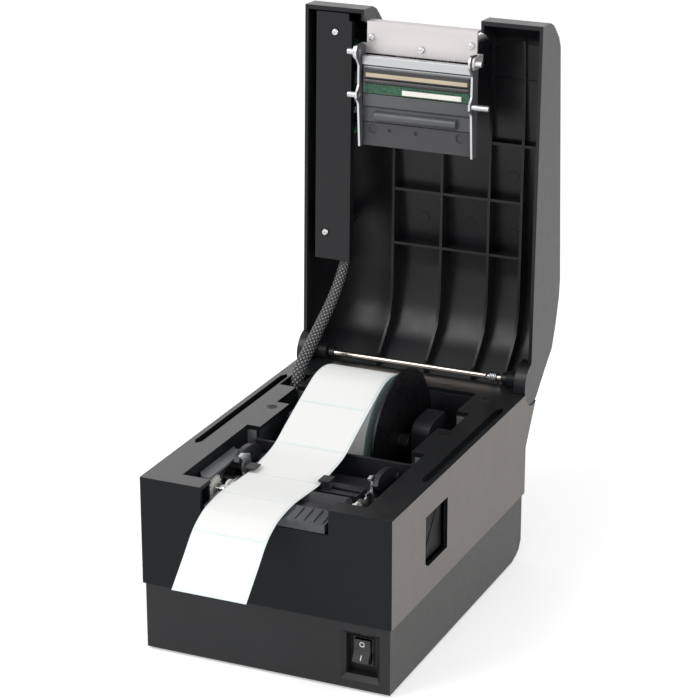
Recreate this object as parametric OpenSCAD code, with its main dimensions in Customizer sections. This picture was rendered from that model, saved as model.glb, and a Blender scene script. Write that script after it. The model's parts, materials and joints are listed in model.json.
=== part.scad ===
// Thermal label printer: a desktop clamshell unit whose lid carries the print head.
// Units are millimetres. Origin: centre of the footprint on the table.
// +X is the right side, +Y the back, +Z up. The lid is drawn open on its stop.
// Every sub-part is one module and one entry in NODES.

/* [Body] */
// overall width of the casing
body_w = 145; // [144:1:160]
// depth from the front face to the flat rear wall
body_d = 197; // [197:1:212]
// height of the deck that the lid closes on
deck_z = 101; // [101:1:112]
// height of the parting line between tray and casing
seam_z = 39.5; // [37:0.5:40]
// wall thickness of the mouldings
wall = 2.4; // [2:0.1:2.6]
// step of the tray inside the casing line
tray_step = 1.2; // [0.6:0.1:1.6]
// diameter of the rubber feet
foot_d = 14; // [10:1:18]

/* [Lid] */
// height of the closed lid above the deck
lid_h = 45; // [44:1:52]
// height of the rounded front of the lid above the deck
lid_nose_h = 13; // [11:1:15]
// diameter of the hinge ears
ear_d = 25.4; // [24.6:0.2:25.6]
// diameter of the steel hinge rod
rod_d = 3.2; // [3:0.2:4.4]

/* [Label roll] */
// width of the backing liner
liner_w = 42.6; // [34:0.2:46]
// outside diameter of the full roll
roll_d = 76; // [60:1:79]
// bore of the card core
core_bore = 25.4; // [24.4:0.2:26]
// thickness of the card core
core_t = 2; // [1.6:0.2:3]
// thickness of liner and label together
web_t = 0.25; // [0.15:0.05:0.3]

/* [Drive] */
// diameter of the rubber platen
platen_d = 15; // [14:0.2:15]
// diameter of the platen shaft
shaft_d = 6; // [5:0.2:6.4]
// gear module
gear_m = 0.8; // [0.8]
// width of the gears
gear_w = 5.6; // [4:0.2:5.6]
// size of the square motor
motor_size = 35; // [30:1:35]

/* [Latch] */
// diameter of the latch shaft
latch_d = 5; // [4:0.2:5.4]
// diameter of the print-head pins
pin_d = 3.6; // [3:0.1:3.6]

/* [Fits] */
// radial clearance of turning fits
run_gap = 0.05; // [0.03:0.01:0.08]
// clearance between parts that are fixed to each other
seat_gap = 0.05; // [0.03:0.01:0.08]
// gap between the lid rim and the deck
lid_gap = 0.3; // [0.2:0.1:0.6]
// gap round the hinge ears
ear_gap = 0.4; // [0.3:0.1:0.6]

/* [Hidden] */
$fn = 64;
half_w = body_w / 2;
in_x = half_w - wall;
lid_x = half_w - 0.5;
lid_in_x = lid_x - 2;
ear_r = ear_d / 2;
ear_w = 7;
ear_x = lid_x - ear_w;
hinge_y = body_d + 10.5;
hinge_z = deck_z + 3.3;
lid_rest = 91.5;
rod_r = rod_d / 2;
trough_r = ear_r + ear_gap;
skirt_r = ear_r - 2.4;
lug_x0 = ear_x - 8;
lug_x1 = ear_x - 0.6;
slope_y = body_d + 17.5;
roll_r = roll_d / 2;
roll_y = body_d - 55;
roll_z = deck_z - 19;
web_x0 = -31.8;
web_x1 = web_x0 + liner_w;
roll_x0 = web_x0 + 0.3;
roll_x1 = web_x1 - 0.2;
core_r = core_bore / 2;
flange_r = 43.3;
flange_t = 1.4;
bay_r = 44.8;
bay_t = 2;
bay_x = 45.4;
niche_x = 53.3;
bay_y0 = 90;
bay_y1 = body_d - 11;
niche_y0 = body_d - 69;
niche_y1 = body_d - 41;
slot_y = [body_d - 43, body_d - 22];
deck_screw_x = 52.5;
deck_screw_y = [body_d - 77, body_d - 16];
holder_x = web_x1 + 6.2;
platen_y = 35;
platen_z = deck_z - 15.5;
platen_r = platen_d / 2;
shaft_r = shaft_d / 2;
roller_x = 32;
plate_x0 = 35.5;
plate_t = 1.2;
plate_x1 = plate_x0 + plate_t;
frame_z0 = deck_z - 60.5;
frame_z1 = frame_z0 + 1.5;
latch_y = 60;
latch_z = deck_z - 20;
latch_r = latch_d / 2;
latch_rest = 20;
hook_x0 = 37.2;
hook_x1 = 39;
lever_x1 = in_x - 0.6;
lever_x0 = lever_x1 - 3;
pin_r = pin_d / 2;
pin_y = 46.5;
pivot_y = 21.8;
pin_z = deck_z - 9.7;
motor_y = 58;
motor_z = deck_z - 41;
gear_x0 = -51.3;
gear_x1 = gear_x0 + gear_w;
teeth_platen = 17;
teeth_idler = 30;
teeth_pinion = 12;
mesh_gap = 0.15;
d_pi = (teeth_platen + teeth_idler) * gear_m / 2 + mesh_gap;
d_im = (teeth_idler + teeth_pinion) * gear_m / 2 + mesh_gap;
d_pm = norm([motor_y - platen_y, motor_z - platen_z]);
idler_a = (d_pi * d_pi - d_im * d_im + d_pm * d_pm) / (2 * d_pm);
idler_h = sqrt(max(0, d_pi * d_pi - idler_a * idler_a));
dir_y = (motor_y - platen_y) / d_pm;
dir_z = (motor_z - platen_z) / d_pm;
idler_y = platen_y + dir_y * idler_a + dir_z * idler_h;
idler_z = platen_z + dir_z * idler_a - dir_y * idler_h;
ang_pi = atan2(idler_z - platen_z, idler_y - platen_y);
ang_im = atan2(motor_z - idler_z, motor_y - idler_y);
step_idler = 360 / teeth_idler;
turn_idler = ang_pi + 180 + 180 / teeth_idler;
lag_raw = (ang_im - turn_idler) / step_idler;
lag = (lag_raw - floor(lag_raw)) * step_idler;
turn_pinion = ang_im + 180 + lag * teeth_idler / teeth_pinion + 180 / teeth_pinion;
post_x = in_x - 5.3;
post_y = [38, body_d - 19];
sw_x = 53;
sw_z = 20.6;
sw_y = 9.2;
board_z = 8;
origin_y = body_d / 2 + 5;

// --- helpers -------------------------------------------------------------

// places the base parts: y counted from the front face
module base_at() {
  translate([0, -origin_y, 0]) children();
}

// places the lid parts: drawn closed, turned open about the hinge
module lid_at() {
  translate([0, hinge_y - origin_y, hinge_z])
    rotate([-lid_rest, 0, 0])
      translate([0, -hinge_y, -hinge_z]) children();
}

// block from corner values
module blk(x0, x1, y0, y1, z0, z1) {
  translate([x0, y0, z0]) cube([x1 - x0, y1 - y0, z1 - z0]);
}

// cylinder along x
module xcyl(x0, x1, y, z, r) {
  translate([x0, y, z]) rotate([0, 90, 0]) cylinder(r = r, h = x1 - x0);
}

// cylinder along y
module ycyl(x, y0, y1, z, r) {
  translate([x, y1, z]) rotate([90, 0, 0]) cylinder(r = r, h = y1 - y0);
}

// cylinder along z
module zcyl(x, y, z0, z1, r) {
  translate([x, y, z0]) cylinder(r = r, h = z1 - z0);
}

// side profile of [y, z] points drawn along x
module prism(x0, x1, pts) {
  translate([x0, 0, 0]) rotate([90, 0, 90]) linear_extrude(x1 - x0) polygon(pts);
}

// a part and its mirror image
module pair() {
  children();
  mirror([1, 0, 0]) children();
}

// straight-sided gear outline
function gear_pts(n, m) =
  [for (i = [0 : n - 1], k = [0 : 3])
    let (a = 360 / n,
         r = (k == 0 || k == 3) ? n * m / 2 - m * 1.15 : n * m / 2 + m * 0.85,
         f = [-0.3, -0.13, 0.13, 0.3][k],
         t = (i + f) * a)
    [r * cos(t), r * sin(t)]];

// gear along x with one tooth centred on the given turn
module gear(y, z, n, bore, turn) {
  difference() {
    translate([gear_x0, y, z]) rotate([90, 0, 90])
      linear_extrude(gear_w) rotate(turn) polygon(gear_pts(n, gear_m));
    xcyl(gear_x0 - 1, gear_x1 + 1, y, z, bore);
  }
}

// --- casing --------------------------------------------------------------

tray_f = tray_step;
tray_r = body_d - tray_step;
tray_x = half_w - tray_step;
tray_top = seam_z - 0.2;
tray_base = 1.5;
recess = [42.8, 65.4, 6.2, 34.3];
bevel = 2.5;

module switch_recess_cut() {
  hull() {
    blk(recess[0], recess[1], tray_f - 1, tray_f, recess[2], recess[3]);
    blk(recess[0] + bevel, recess[1] - bevel, tray_f + bevel, tray_f + bevel + 0.1,
      recess[2] + bevel, recess[3] - bevel);
  }
  blk(recess[0] + bevel, recess[1] - bevel, tray_f + bevel, sw_y,
    recess[2] + bevel, recess[3] - bevel);
}

module tray_outline(inset, base) {
  prism(-tray_x + inset, tray_x - inset, [
    [tray_f + inset, base], [body_d - 16 - inset, base],
    [body_d - 9 - inset, base + 1.6], [body_d - 4 - inset, base + 4],
    [tray_r - inset, base + 9], [tray_r - inset, tray_top + inset],
    [tray_f + inset, tray_top + inset]]);
}

jack_x = -42;
port_x = -14;
port_z = board_z + 8;

module lower_tray() {
  color([0.10, 0.10, 0.11]) base_at() difference() {
    union() {
      difference() {
        tray_outline(0, tray_base);
        tray_outline(wall, tray_base + wall);
      }
      blk(recess[0] - 0.2, recess[1] + 0.2, tray_f + 0.4, sw_y + 2,
        recess[2] - 0.2, recess[3] + 0.2);
      for (s = [-1, 1], y = post_y) zcyl(s * post_x, y, tray_base + 0.5, 12, 4);
      for (s = [-1, 1], y = [24, 78]) zcyl(s * 30, y, tray_base + 1, frame_z0 - seat_gap, 4);
      for (x = [-56, 30], y = [body_d - 102, body_d - 12])
        zcyl(x, y, tray_base + 1, board_z - seat_gap, 3);
    }
    switch_recess_cut();
    blk(sw_x - 5.2, sw_x + 5.2, sw_y - 1, sw_y + 4, sw_z - 7.4, sw_z + 7.4);
    for (s = [-1, 1], y = post_y) {
      zcyl(s * post_x, y, tray_base - 1, 8, 3.1);
      zcyl(s * post_x, y, 7, 13, 1.7);
    }
    ycyl(jack_x, tray_r - 5, tray_r + 1, port_z, 4.2);
    blk(port_x - 6.3, port_x + 6.3, tray_r - 5, tray_r + 1, port_z - 6.7, port_z + 5.8);
    for (i = [0 : 7]) blk(28 + i * 4, 30 + i * 4, tray_r - 5, tray_r + 1, 14, 30);
  }
}

module rubber_feet() {
  color([0.05, 0.05, 0.05]) base_at()
    for (s = [-1, 1], y = [16, body_d - 27])
      zcyl(s * (half_w - 14), y, 0, tray_base - seat_gap, foot_d / 2);
}

module base_screws() {
  color([0.6, 0.6, 0.62]) base_at() {
    for (s = [-1, 1], y = post_y) difference() {
      union() {
        zcyl(s * post_x, y, 5.6, 8 - seat_gap, 2.9);
        zcyl(s * post_x, y, 7.9, 20, 1.6);
      }
      blk(s * post_x - 2, s * post_x + 2, y - 0.4, y + 0.4, 5, 6.6);
    }
    pair() for (y = deck_screw_y) difference() {
      union() {
        zcyl(deck_screw_x, y, deck_z - 1.15, deck_z - 0.2, 2.9);
        zcyl(deck_screw_x, y, deck_z - 8, deck_z - 1, 1.6);
      }
      blk(deck_screw_x - 2, deck_screw_x + 2, y - 0.4, y + 0.4, deck_z - 0.7, deck_z);
    }
  }
}

window = [45.3, 76, deck_z - 45.5, deck_z - 16];

module casing_outline() {
  prism(-half_w, half_w, [
    [0, seam_z], [0, deck_z], [body_d + 8, deck_z], [slope_y + 0.2, deck_z - 2],
    [slope_y, deck_z - 5.5], [body_d, deck_z - 33], [body_d, seam_z]]);
}

module casing_cavity() {
  prism(-in_x, in_x, [
    [wall, seam_z - 1], [wall, deck_z - wall], [body_d + 6.6, deck_z - wall],
    [body_d + 6.6, deck_z - 16], [body_d - wall, deck_z - 31],
    [body_d - wall, seam_z - 1]]);
}

module deck_opening() {
  z0 = deck_z - wall - 1;
  z1 = deck_z + 1;
  blk(-36.9, 36.9, -1, 13, z0, z1);
  blk(-niche_x, niche_x, 12, bay_y0, z0, z1);
  blk(-bay_x, bay_x, bay_y0 - 1, bay_y1, z0, z1);
  blk(-niche_x, niche_x, niche_y0, niche_y1, z0, z1);
  blk(-half_w + 8.5, -niche_x + 0.3, slot_y[0], slot_y[1], z0 - 3, z1);
}

// long tapered recess beside the bay; grow widens it into the bar beneath
module side_groove(depth, grow) {
  g0 = half_w - 7.5 - grow;
  g1 = half_w - 3 + grow;
  gm = (g0 + g1) / 2;
  y1 = body_d - 30 + grow;
  translate([0, 0, deck_z - depth]) linear_extrude(depth + (grow > 0 ? 0 : 1)) polygon([
    [g0, 58 - grow], [gm, 54 - grow], [g1, 58 - grow], [g1, y1], [gm, y1 + 4], [g0, y1]]);
}

// rims that hang under the deck openings
module deck_skirts() {
  z0 = deck_z - 14;
  z1 = deck_z - wall + 0.1;
  blk(niche_x, niche_x + 1.6, 10.4, bay_y0 + 1.6, z0, z1);
  blk(37.2, niche_x + 1, 10.4, 12, z0, z1);
  blk(bay_x + bay_t + 0.1, niche_x + 1, bay_y0, bay_y0 + 1.6, z0, z1);
}

module upper_casing() {
  color([0.13, 0.13, 0.14]) base_at() difference() {
    union() {
      difference() {
        union() {
          difference() {
            casing_outline();
            casing_cavity();
            blk(-half_w - 1, half_w + 1, -1, body_d + 30, 0, seam_z);
            blk(-half_w, half_w, 5, body_d + 30, deck_z, deck_z + 90);
          }
          intersection() {
            casing_outline();
            union() {
              difference() {
                xcyl(-half_w, half_w, hinge_y, hinge_z, trough_r + 2.2);
                blk(wall - lug_x1 - 0.2, lug_x1 + 0.2 - wall, 0, hinge_y - 1.5 - wall,
                  0, deck_z - wall);
              }
              blk(-half_w, half_w, hinge_y - 1.5 - wall, hinge_y - 1.5, deck_z - 14, deck_z);
            }
          }
          for (s = [-1, 1], y = post_y) zcyl(s * post_x, y, 12.2, deck_z - 1, 3.6);
          pair() side_groove(5, 1.5);
          pair() deck_skirts();
        }
        deck_opening();
        pair() side_groove(3.6, 0);
        blk(-36.8, 36.8, -1, wall + 1, deck_z - 14, deck_z + 1);
        difference() {
          xcyl(-half_w - 1, half_w + 1, hinge_y, hinge_z, trough_r);
          blk(-lug_x1 - 0.2, lug_x1 + 0.2, 0, hinge_y - 1.5, 0, deck_z);
        }
        pair() prism(in_x - 1, half_w + 1, [
          [window[0], window[2] + 2.5], [window[0] + 4, window[2]], [window[1], window[2]],
          [window[1], window[3]], [window[0], window[3]]]);
        pair() for (y = deck_screw_y) {
          zcyl(deck_screw_x, y, deck_z - 5, deck_z + 1, 1.7);
          zcyl(deck_screw_x, y, deck_z - 1.2, deck_z + 1, 3.1);
        }
      }
      pair() xcyl(lug_x0, lug_x1, hinge_y, hinge_z, 5);
    }
    xcyl(-half_w, half_w, hinge_y, hinge_z, rod_r + seat_gap);
    for (s = [-1, 1], y = post_y) zcyl(s * post_x, y, 12, 24, 1.65);
  }
}

module bay_profile(r, y0, y1, top) {
  prism(-bay_x - 12, bay_x + 12, [
    [y0, top], [y0, roll_z - 8], [roll_y - 34, roll_z - r * 0.62],
    [roll_y, roll_z - r * 0.62], [roll_y + r * 0.75, roll_z - r * 0.6],
    [y1, roll_z - 6], [y1, top]]);
  xcyl(-bay_x - 12, bay_x + 12, roll_y, roll_z, r);
}

bay_top = deck_z - wall - seat_gap;

module roll_bay() {
  color([0.11, 0.11, 0.12]) base_at() difference() {
    union() {
      intersection() {
        bay_profile(bay_r + bay_t, bay_y0 - bay_t, bay_y1 + bay_t, bay_top + 30);
        union() {
          blk(-bay_x - bay_t, bay_x + bay_t, bay_y0 - bay_t, body_d - wall - 0.3, 20, bay_top);
          blk(-niche_x - bay_t, niche_x + bay_t, niche_y0 - bay_t, niche_y1 + bay_t,
            deck_z - 22, bay_top);
        }
      }
      pair() for (y = deck_screw_y) blk(bay_x, 57, y - 4.5, y + 4.5, bay_top - 3, bay_top);
    }
    intersection() {
      bay_profile(bay_r, bay_y0, bay_y1, deck_z);
      blk(-bay_x, bay_x, 0, body_d + 40, 0, deck_z);
    }
    pair() blk(bay_x - 1, niche_x, niche_y0, niche_y1, deck_z - 20, deck_z);
    blk(-bay_x - 12, bay_x + 12, bay_y0 - 4, bay_y0 + 1, deck_z - 7, deck_z);
    pair() for (y = deck_screw_y) zcyl(deck_screw_x, y, deck_z - 9, deck_z, 1.65);
    blk(14, bay_x, roll_y - 2.1, roll_y + 2.1, 20, roll_z - 30);
  }
}

// --- electronics in the tray ---------------------------------------------

module main_board() {
  color([0.08, 0.28, 0.16]) base_at() difference() {
    blk(-60, 35, body_d - 107, body_d - 7.5, board_z, board_z + 1.6);
    for (x = [-56, 30], y = [body_d - 102, body_d - 12]) zcyl(x, y, board_z - 1, board_z + 3, 1.6);
  }
}

module board_parts() {
  color([0.09, 0.09, 0.10]) base_at() {
    z = board_z + 1.6 + seat_gap;
    blk(-20, -4, body_d - 70, body_d - 54, z, z + 1.6);
    blk(8, 18, body_d - 66, body_d - 58, z, z + 1.4);
    for (i = [0 : 2]) zcyl(-48 + i * 11, body_d - 50, z, z + 10, 4);
    blk(-50, -30, body_d - 98, body_d - 92, z, z + 7);
    blk(-10, 14, body_d - 98, body_d - 92, z, z + 7);
    blk(20, 28, body_d - 40, body_d - 28, z, z + 5);
  }
}

module dc_jack() {
  color([0.07, 0.07, 0.08]) base_at() difference() {
    union() {
      blk(jack_x - 4.5, jack_x + 4.5, tray_r - 15, tray_r - 6,
        board_z + 1.6 + seat_gap, port_z + 5);
      ycyl(jack_x, tray_r - 6.5, tray_r - 0.4, port_z, 4);
    }
    ycyl(jack_x, tray_r - 11, tray_r + 1, port_z, 3);
  }
  color([0.7, 0.7, 0.72]) base_at() ycyl(jack_x, tray_r - 11.5, tray_r - 1.5, port_z, 1);
}

module usb_port() {
  color([0.75, 0.75, 0.77]) base_at() difference() {
    blk(port_x - 6, port_x + 6, tray_r - 16, tray_r - 0.4, board_z + 1.6 + seat_gap, port_z + 5.4);
    difference() {
      blk(port_x - 5.2, port_x + 5.2, tray_r - 12, tray_r + 1, port_z - 4.6, port_z + 4.6);
      blk(port_x - 2.8, port_x + 2.8, tray_r - 13, tray_r - 3, port_z - 1.6, port_z + 1.6);
    }
  }
}

module power_switch() {
  color([0.06, 0.06, 0.07]) base_at() difference() {
    union() {
      blk(sw_x - 5.9, sw_x + 5.9, sw_y - 1, sw_y - seat_gap, sw_z - 8, sw_z + 8);
      blk(sw_x - 5.1, sw_x + 5.1, sw_y - 0.5, sw_y + 16, sw_z - 7.3, sw_z + 7.3);
      for (s = [-1, 1]) blk(sw_x - 2.4, sw_x + 2.4, sw_y + 15, sw_y + 23,
        sw_z + s * 4 - 0.4, sw_z + s * 4 + 0.4);
    }
    blk(sw_x - 4.85, sw_x + 4.85, sw_y - 2, sw_y + 6, sw_z - 7.05, sw_z + 7.05);
  }
}

module power_rocker() {
  ry = sw_y + 0.8;
  color([0.05, 0.05, 0.06]) base_at() translate([0, ry, sw_z]) rotate([-12, 0, 0]) union() {
    prism(sw_x - 4.65, sw_x + 4.65, [
      [-5, -6.2], [-3, 0], [-5, 6.2], [-0.4, 6.3], [3, 4.2], [3, -4.2], [-0.4, -6.3]]);
    xcyl(sw_x - 4.8, sw_x + 4.8, 0, 0, 1.2);
  }
}

// --- mechanism frame and drive -------------------------------------------

module mechanism_frame() {
  top = deck_z - 10.6;
  color([0.68, 0.69, 0.71]) base_at() difference() {
    union() {
      blk(-plate_x1, plate_x1, 18, 84, frame_z0, frame_z1);
      pair() prism(plate_x0, plate_x1, [
        [28.2, frame_z0], [28.2, top], [43.3, top], [43.3, top - 2.1], [49.8, top - 2.1],
        [49.8, top - 0.4], [84, top - 0.4], [84, frame_z0]]);
    }
    xcyl(-50, 50, platen_y, platen_z, 5 + seat_gap);
    xcyl(-50, 50, latch_y, latch_z, latch_r + run_gap);
    xcyl(-50, 0, motor_y, motor_z, 7);
    xcyl(-50, 0, idler_y, idler_z, 2 + seat_gap);
    for (s = [-1, 1], y = [24, 78]) zcyl(s * 26, y, frame_z0 - 1, frame_z1 + 1, 1.6);
  }
}

module frame_arms() {
  h = deck_z - 101;
  color([0.09, 0.09, 0.10]) base_at() pair() union() {
    prism(39.4, 42.4, [
      [52, h + 93], [66, h + 89.2], [74, h + 86], [86, h + 83], [86, h + 88], [82, h + 92.5],
      [75, h + 97], [68, h + 99.8], [62, h + 100.5], [56, h + 100.1], [52.4, h + 98.3],
      [50.6, h + 95.4]]);
    xcyl(plate_x1 + seat_gap, 39.5, 78, h + 87, 3.6);
    xcyl(42.3, 43.8, 78, h + 90, 3.4);
  }
}

lip_z = deck_z - 8.8;

module front_lip() {
  color([0.12, 0.12, 0.13]) base_at() union() {
    prism(-34.5, 34.5, [
      [0.3, deck_z - 13.7], [0.3, lip_z - 0.8], [1.4, lip_z - 0.2], [3, lip_z - 0.2],
      [16, lip_z + 1.2], [16, lip_z - 2], [2.6, lip_z - 4], [2.6, deck_z - 13.7]]);
    for (i = [-6 : 6]) prism(i * 5.3 - 0.9, i * 5.3 + 0.9, [
      [1.4, lip_z - 0.5], [2.4, lip_z + 0.3], [13.8, lip_z + 1.9], [15, lip_z + 1.5],
      [15, lip_z]]);
    for (s = [-1, 1]) blk(s * 31 - 3, s * 31 + 3, wall + 0.1, 5, deck_z - 40, lip_z - 2);
  }
}

module front_guide() {
  color([0.10, 0.10, 0.11]) base_at() union() {
    blk(-33.4, 33.4, 19.8, 26.6, deck_z - 10.8, deck_z - 9.6);
    for (s = [-1, 1]) blk(s * 31 - 2, s * 31 + 2, 19.8, 21.8, frame_z1 + seat_gap, deck_z - 10);
  }
}

module platen_roller() {
  color([0.10, 0.10, 0.10]) base_at() difference() {
    xcyl(-roller_x, roller_x, platen_y, platen_z, platen_r);
    xcyl(-roller_x - 1, roller_x + 1, platen_y, platen_z, shaft_r + 0.02);
  }
}

module platen_shaft() {
  color([0.72, 0.73, 0.75]) base_at() xcyl(gear_x0 - 0.3, 39.5, platen_y, platen_z, shaft_r);
}

module platen_gear() {
  color([0.88, 0.88, 0.85]) base_at()
    gear(platen_y, platen_z, teeth_platen, shaft_r + 0.02, ang_pi);
}

module platen_bearings() {
  color([0.85, 0.83, 0.76]) base_at() pair() difference() {
    union() {
      xcyl(plate_x0 - 0.6, plate_x1 + 1.4, platen_y, platen_z, 5);
      xcyl(plate_x1 + seat_gap, plate_x1 + 1.4, platen_y, platen_z, 6.2);
    }
    xcyl(plate_x0 - 2, plate_x1 + 3, platen_y, platen_z, shaft_r + run_gap);
  }
}

module idler_axle() {
  color([0.7, 0.7, 0.72]) base_at() union() {
    xcyl(gear_x0 - 0.5, -plate_x0, idler_y, idler_z, 2);
    xcyl(gear_x1 + 0.2, -plate_x1 - seat_gap, idler_y, idler_z, 3.2);
  }
}

module idler_gear() {
  color([0.88, 0.88, 0.85]) base_at()
    gear(idler_y, idler_z, teeth_idler, 2 + run_gap, turn_idler);
}

module stepper_motor() {
  m = motor_size / 2;
  x0 = -plate_x0 + seat_gap;
  color([0.35, 0.36, 0.38]) base_at() difference() {
    union() {
      prism(x0, x0 + 22, [
        [motor_y - m + 4, motor_z - m], [motor_y + m - 4, motor_z - m],
        [motor_y + m, motor_z - m + 4], [motor_y + m, motor_z + m - 4],
        [motor_y + m - 4, motor_z + m], [motor_y - m + 4, motor_z + m],
        [motor_y - m, motor_z + m - 4], [motor_y - m, motor_z - m + 4]]);
      xcyl(-plate_x1 - 1, x0 + 1, motor_y, motor_z, 7 - seat_gap);
    }
    xcyl(-60, x0 + 14, motor_y, motor_z, 2.5 + run_gap);
  }
}

module motor_shaft() {
  color([0.72, 0.73, 0.75]) base_at()
    xcyl(gear_x0 - 0.3, -plate_x0 + 12, motor_y, motor_z, 2.5);
}

module motor_pinion() {
  color([0.82, 0.70, 0.40]) base_at()
    gear(motor_y, motor_z, teeth_pinion, 2.5 + 0.02, turn_pinion);
}

module gear_cover() {
  color([0.42, 0.43, 0.45]) base_at() difference() {
    union() {
      translate([0, 0, deck_z - 7.4]) linear_extrude(1.4) polygon([
        [-52.8, 31], [-49, 26], [-44.6, 26], [-44.6, 69], [-52.8, 69]]);
      blk(-52.8, -52, 31, 72, deck_z - 45, deck_z - 6.2);
      xcyl(-52.2, -plate_x1 - seat_gap, 69.4, motor_z + 2, 2.5);
      xcyl(-52.2, -plate_x1 - seat_gap, 66.5, deck_z - 14.5, 2.2);
    }
    xcyl(-54, -50, latch_y, latch_z, latch_r + 0.8);
  }
}

// --- media guides --------------------------------------------------------

module guide_rail() {
  color([0.10, 0.10, 0.11]) base_at() difference() {
    union() {
      blk(-33.2, 33.2, 45, 58, deck_z - 15, deck_z - 10.6);
      blk(-35.4, 35.4, 57, 68, deck_z - 17, deck_z - 15);
      for (s = [-1, 1]) blk(s * 32.6 - 2.8, s * 32.6 + 2.8, 76, 80, frame_z1 + seat_gap,
        deck_z - 17.2);
      blk(-35.4, 35.4, 67, 80, deck_z - 17.5, deck_z - 15.5);
    }
    blk(8, 32.6, 48.9, 52.1, deck_z - 14, deck_z - 10);
  }
}

tab_z = deck_z - 5.5;

module guide_left() {
  color([0.12, 0.12, 0.13]) base_at() union() {
    blk(web_x0 - 2, web_x0 - 0.5, 46, 54, deck_z - 10.6 + seat_gap, tab_z);
    blk(web_x0 - 2, web_x0 + 4.3, 46, 54, tab_z - 1.1, tab_z);
  }
}

module guide_right() {
  color([0.12, 0.12, 0.13]) base_at() union() {
    blk(web_x1 + 0.6, web_x1 + 2.2, 46, 54, deck_z - 10.5, tab_z);
    blk(web_x1 - 0.8, web_x1 + 5.6, 46, 54, tab_z - 1.1, tab_z);
    blk(web_x1 + 0.4, web_x1 + 5.2, 49, 52, deck_z - 13.9, deck_z - 10.2);
    blk(web_x1 + 0.4, web_x1 + 5.2, 46, 54, deck_z - 10.5, deck_z - 9.9);
  }
}

module gap_sensor() {
  color([0.05, 0.05, 0.06]) base_at() union() {
    blk(-14, 0, 60.5, 66.5, deck_z - 15 + seat_gap, deck_z - 9);
    zcyl(-7, 63.5, deck_z - 9.1, deck_z - 8.6, 1.8);
  }
}

// --- latch ---------------------------------------------------------------

module latch_at() {
  base_at() translate([0, latch_y, latch_z]) rotate([-latch_rest, 0, 0])
    translate([0, -latch_y, -latch_z]) children();
}

module latch_shaft() {
  color([0.7, 0.71, 0.73]) base_at()
    xcyl(1.05 - lever_x1, lever_x1 - 1.05, latch_y, latch_z, latch_r);
}

module latch_hooks() {
  h = deck_z - 101;
  color([0.78, 0.79, 0.81]) latch_at() pair() difference() {
    prism(hook_x0, hook_x1, [
      [55.5, h + 79], [57, h + 76.8], [62, h + 76.6], [64.5, h + 81], [61, h + 89],
      [55, h + 96.8], [46.4, h + 96.8], [43.6, h + 95], [44.4, h + 93.6], [48.8, h + 93.5],
      [49.4, h + 88.5]]);
    xcyl(0, 60, latch_y, latch_z, latch_r + 0.02);
  }
}

module release_levers() {
  color([0.14, 0.14, 0.15]) base_at() pair() difference() {
    union() {
      xcyl(lever_x0 - 3, lever_x1, latch_y, latch_z, 5);
      prism(lever_x0, lever_x1, [
        [47, window[2] + 4], [50, window[2] + 1.5], [74.5, window[2] + 1.5],
        [74.5, window[3] - 1.5], [47, window[3] - 1.5]]);
      prism(lever_x1 - 0.5, lever_x1 + 0.3, [
        [49, window[2] + 5], [55, window[2] + 3], [73, window[3] - 8], [73, window[3] - 3],
        [67, window[3] - 3]]);
    }
    xcyl(0, lever_x1 - 1, latch_y, latch_z, latch_r + 0.02);
  }
}

// --- media ---------------------------------------------------------------

module roll_holder_left() {
  x1 = roll_x0 - 0.6;
  color([0.09, 0.09, 0.10]) base_at() difference() {
    union() {
      intersection() {
        blk(-bay_x + 0.1, x1 - 3, roll_y - 21, roll_y + 13, 20, roll_z + 14);
        xcyl(-60, 0, roll_y, roll_z, bay_r - 0.1);
      }
      xcyl(x1 - 3.1, x1, roll_y, roll_z, 30);
      xcyl(x1 - 1, x1 + 12, roll_y, roll_z, core_r - 0.4);
    }
    xcyl(x1 - 5, x1 + 14, roll_y, roll_z, core_r - 2.4);
  }
}

module roll_carriage_right() {
  x0 = holder_x + 8;
  x1 = x0 + 11;
  color([0.08, 0.08, 0.09]) base_at() union() {
    intersection() {
      xcyl(0, 90, roll_y, roll_z, bay_r - 0.6);
      prism(x0, x1, [
        [roll_y - 4.5, 20], [roll_y - 4.5, deck_z - 11], [roll_y - 2.4, deck_z - 6.4],
        [roll_y + 1.6, deck_z - 4.3], [roll_y + 8, deck_z - 3.6], [roll_y + 20, deck_z - 3.6],
        [roll_y + 24, deck_z - 8], [roll_y + 24, 20]]);
    }
    xcyl(x0 - 6, x0 + 1, roll_y, roll_z, 4);
    blk(x0, x1, roll_y - 1.8, roll_y + 1.8, roll_z - bay_r - 4, roll_z - bay_r + 2);
    blk(x0, x1, roll_y - 5, roll_y + 5, roll_z - bay_r - 4.6, roll_z - bay_r - 2.9);
  }
}

module roll_flange_right() {
  color([0.07, 0.07, 0.08]) base_at() difference() {
    union() {
      xcyl(holder_x, holder_x + flange_t, roll_y, roll_z, flange_r);
      xcyl(roll_x1 + 0.1, holder_x + 0.1, roll_y, roll_z, core_r + 4);
      xcyl(roll_x1 - 8, holder_x + 1, roll_y, roll_z, core_r - 0.4);
      xcyl(holder_x, holder_x + 7, roll_y, roll_z, 7);
    }
    xcyl(holder_x + 1.6, holder_x + 12, roll_y, roll_z, 4 + run_gap);
    xcyl(roll_x1 - 9, holder_x - 1, roll_y, roll_z, core_r - 2.4);
  }
}

module label_core() {
  color([0.62, 0.50, 0.36]) base_at() difference() {
    xcyl(roll_x0, roll_x1, roll_y, roll_z, core_r + core_t);
    xcyl(roll_x0 - 1, roll_x1 + 1, roll_y, roll_z, core_r);
  }
}

module label_roll() {
  color([0.93, 0.93, 0.92]) base_at() difference() {
    xcyl(roll_x0, roll_x1, roll_y, roll_z, roll_r);
    xcyl(roll_x0 - 1, roll_x1 + 1, roll_y, roll_z, core_r + core_t + 0.02);
  }
}

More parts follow.
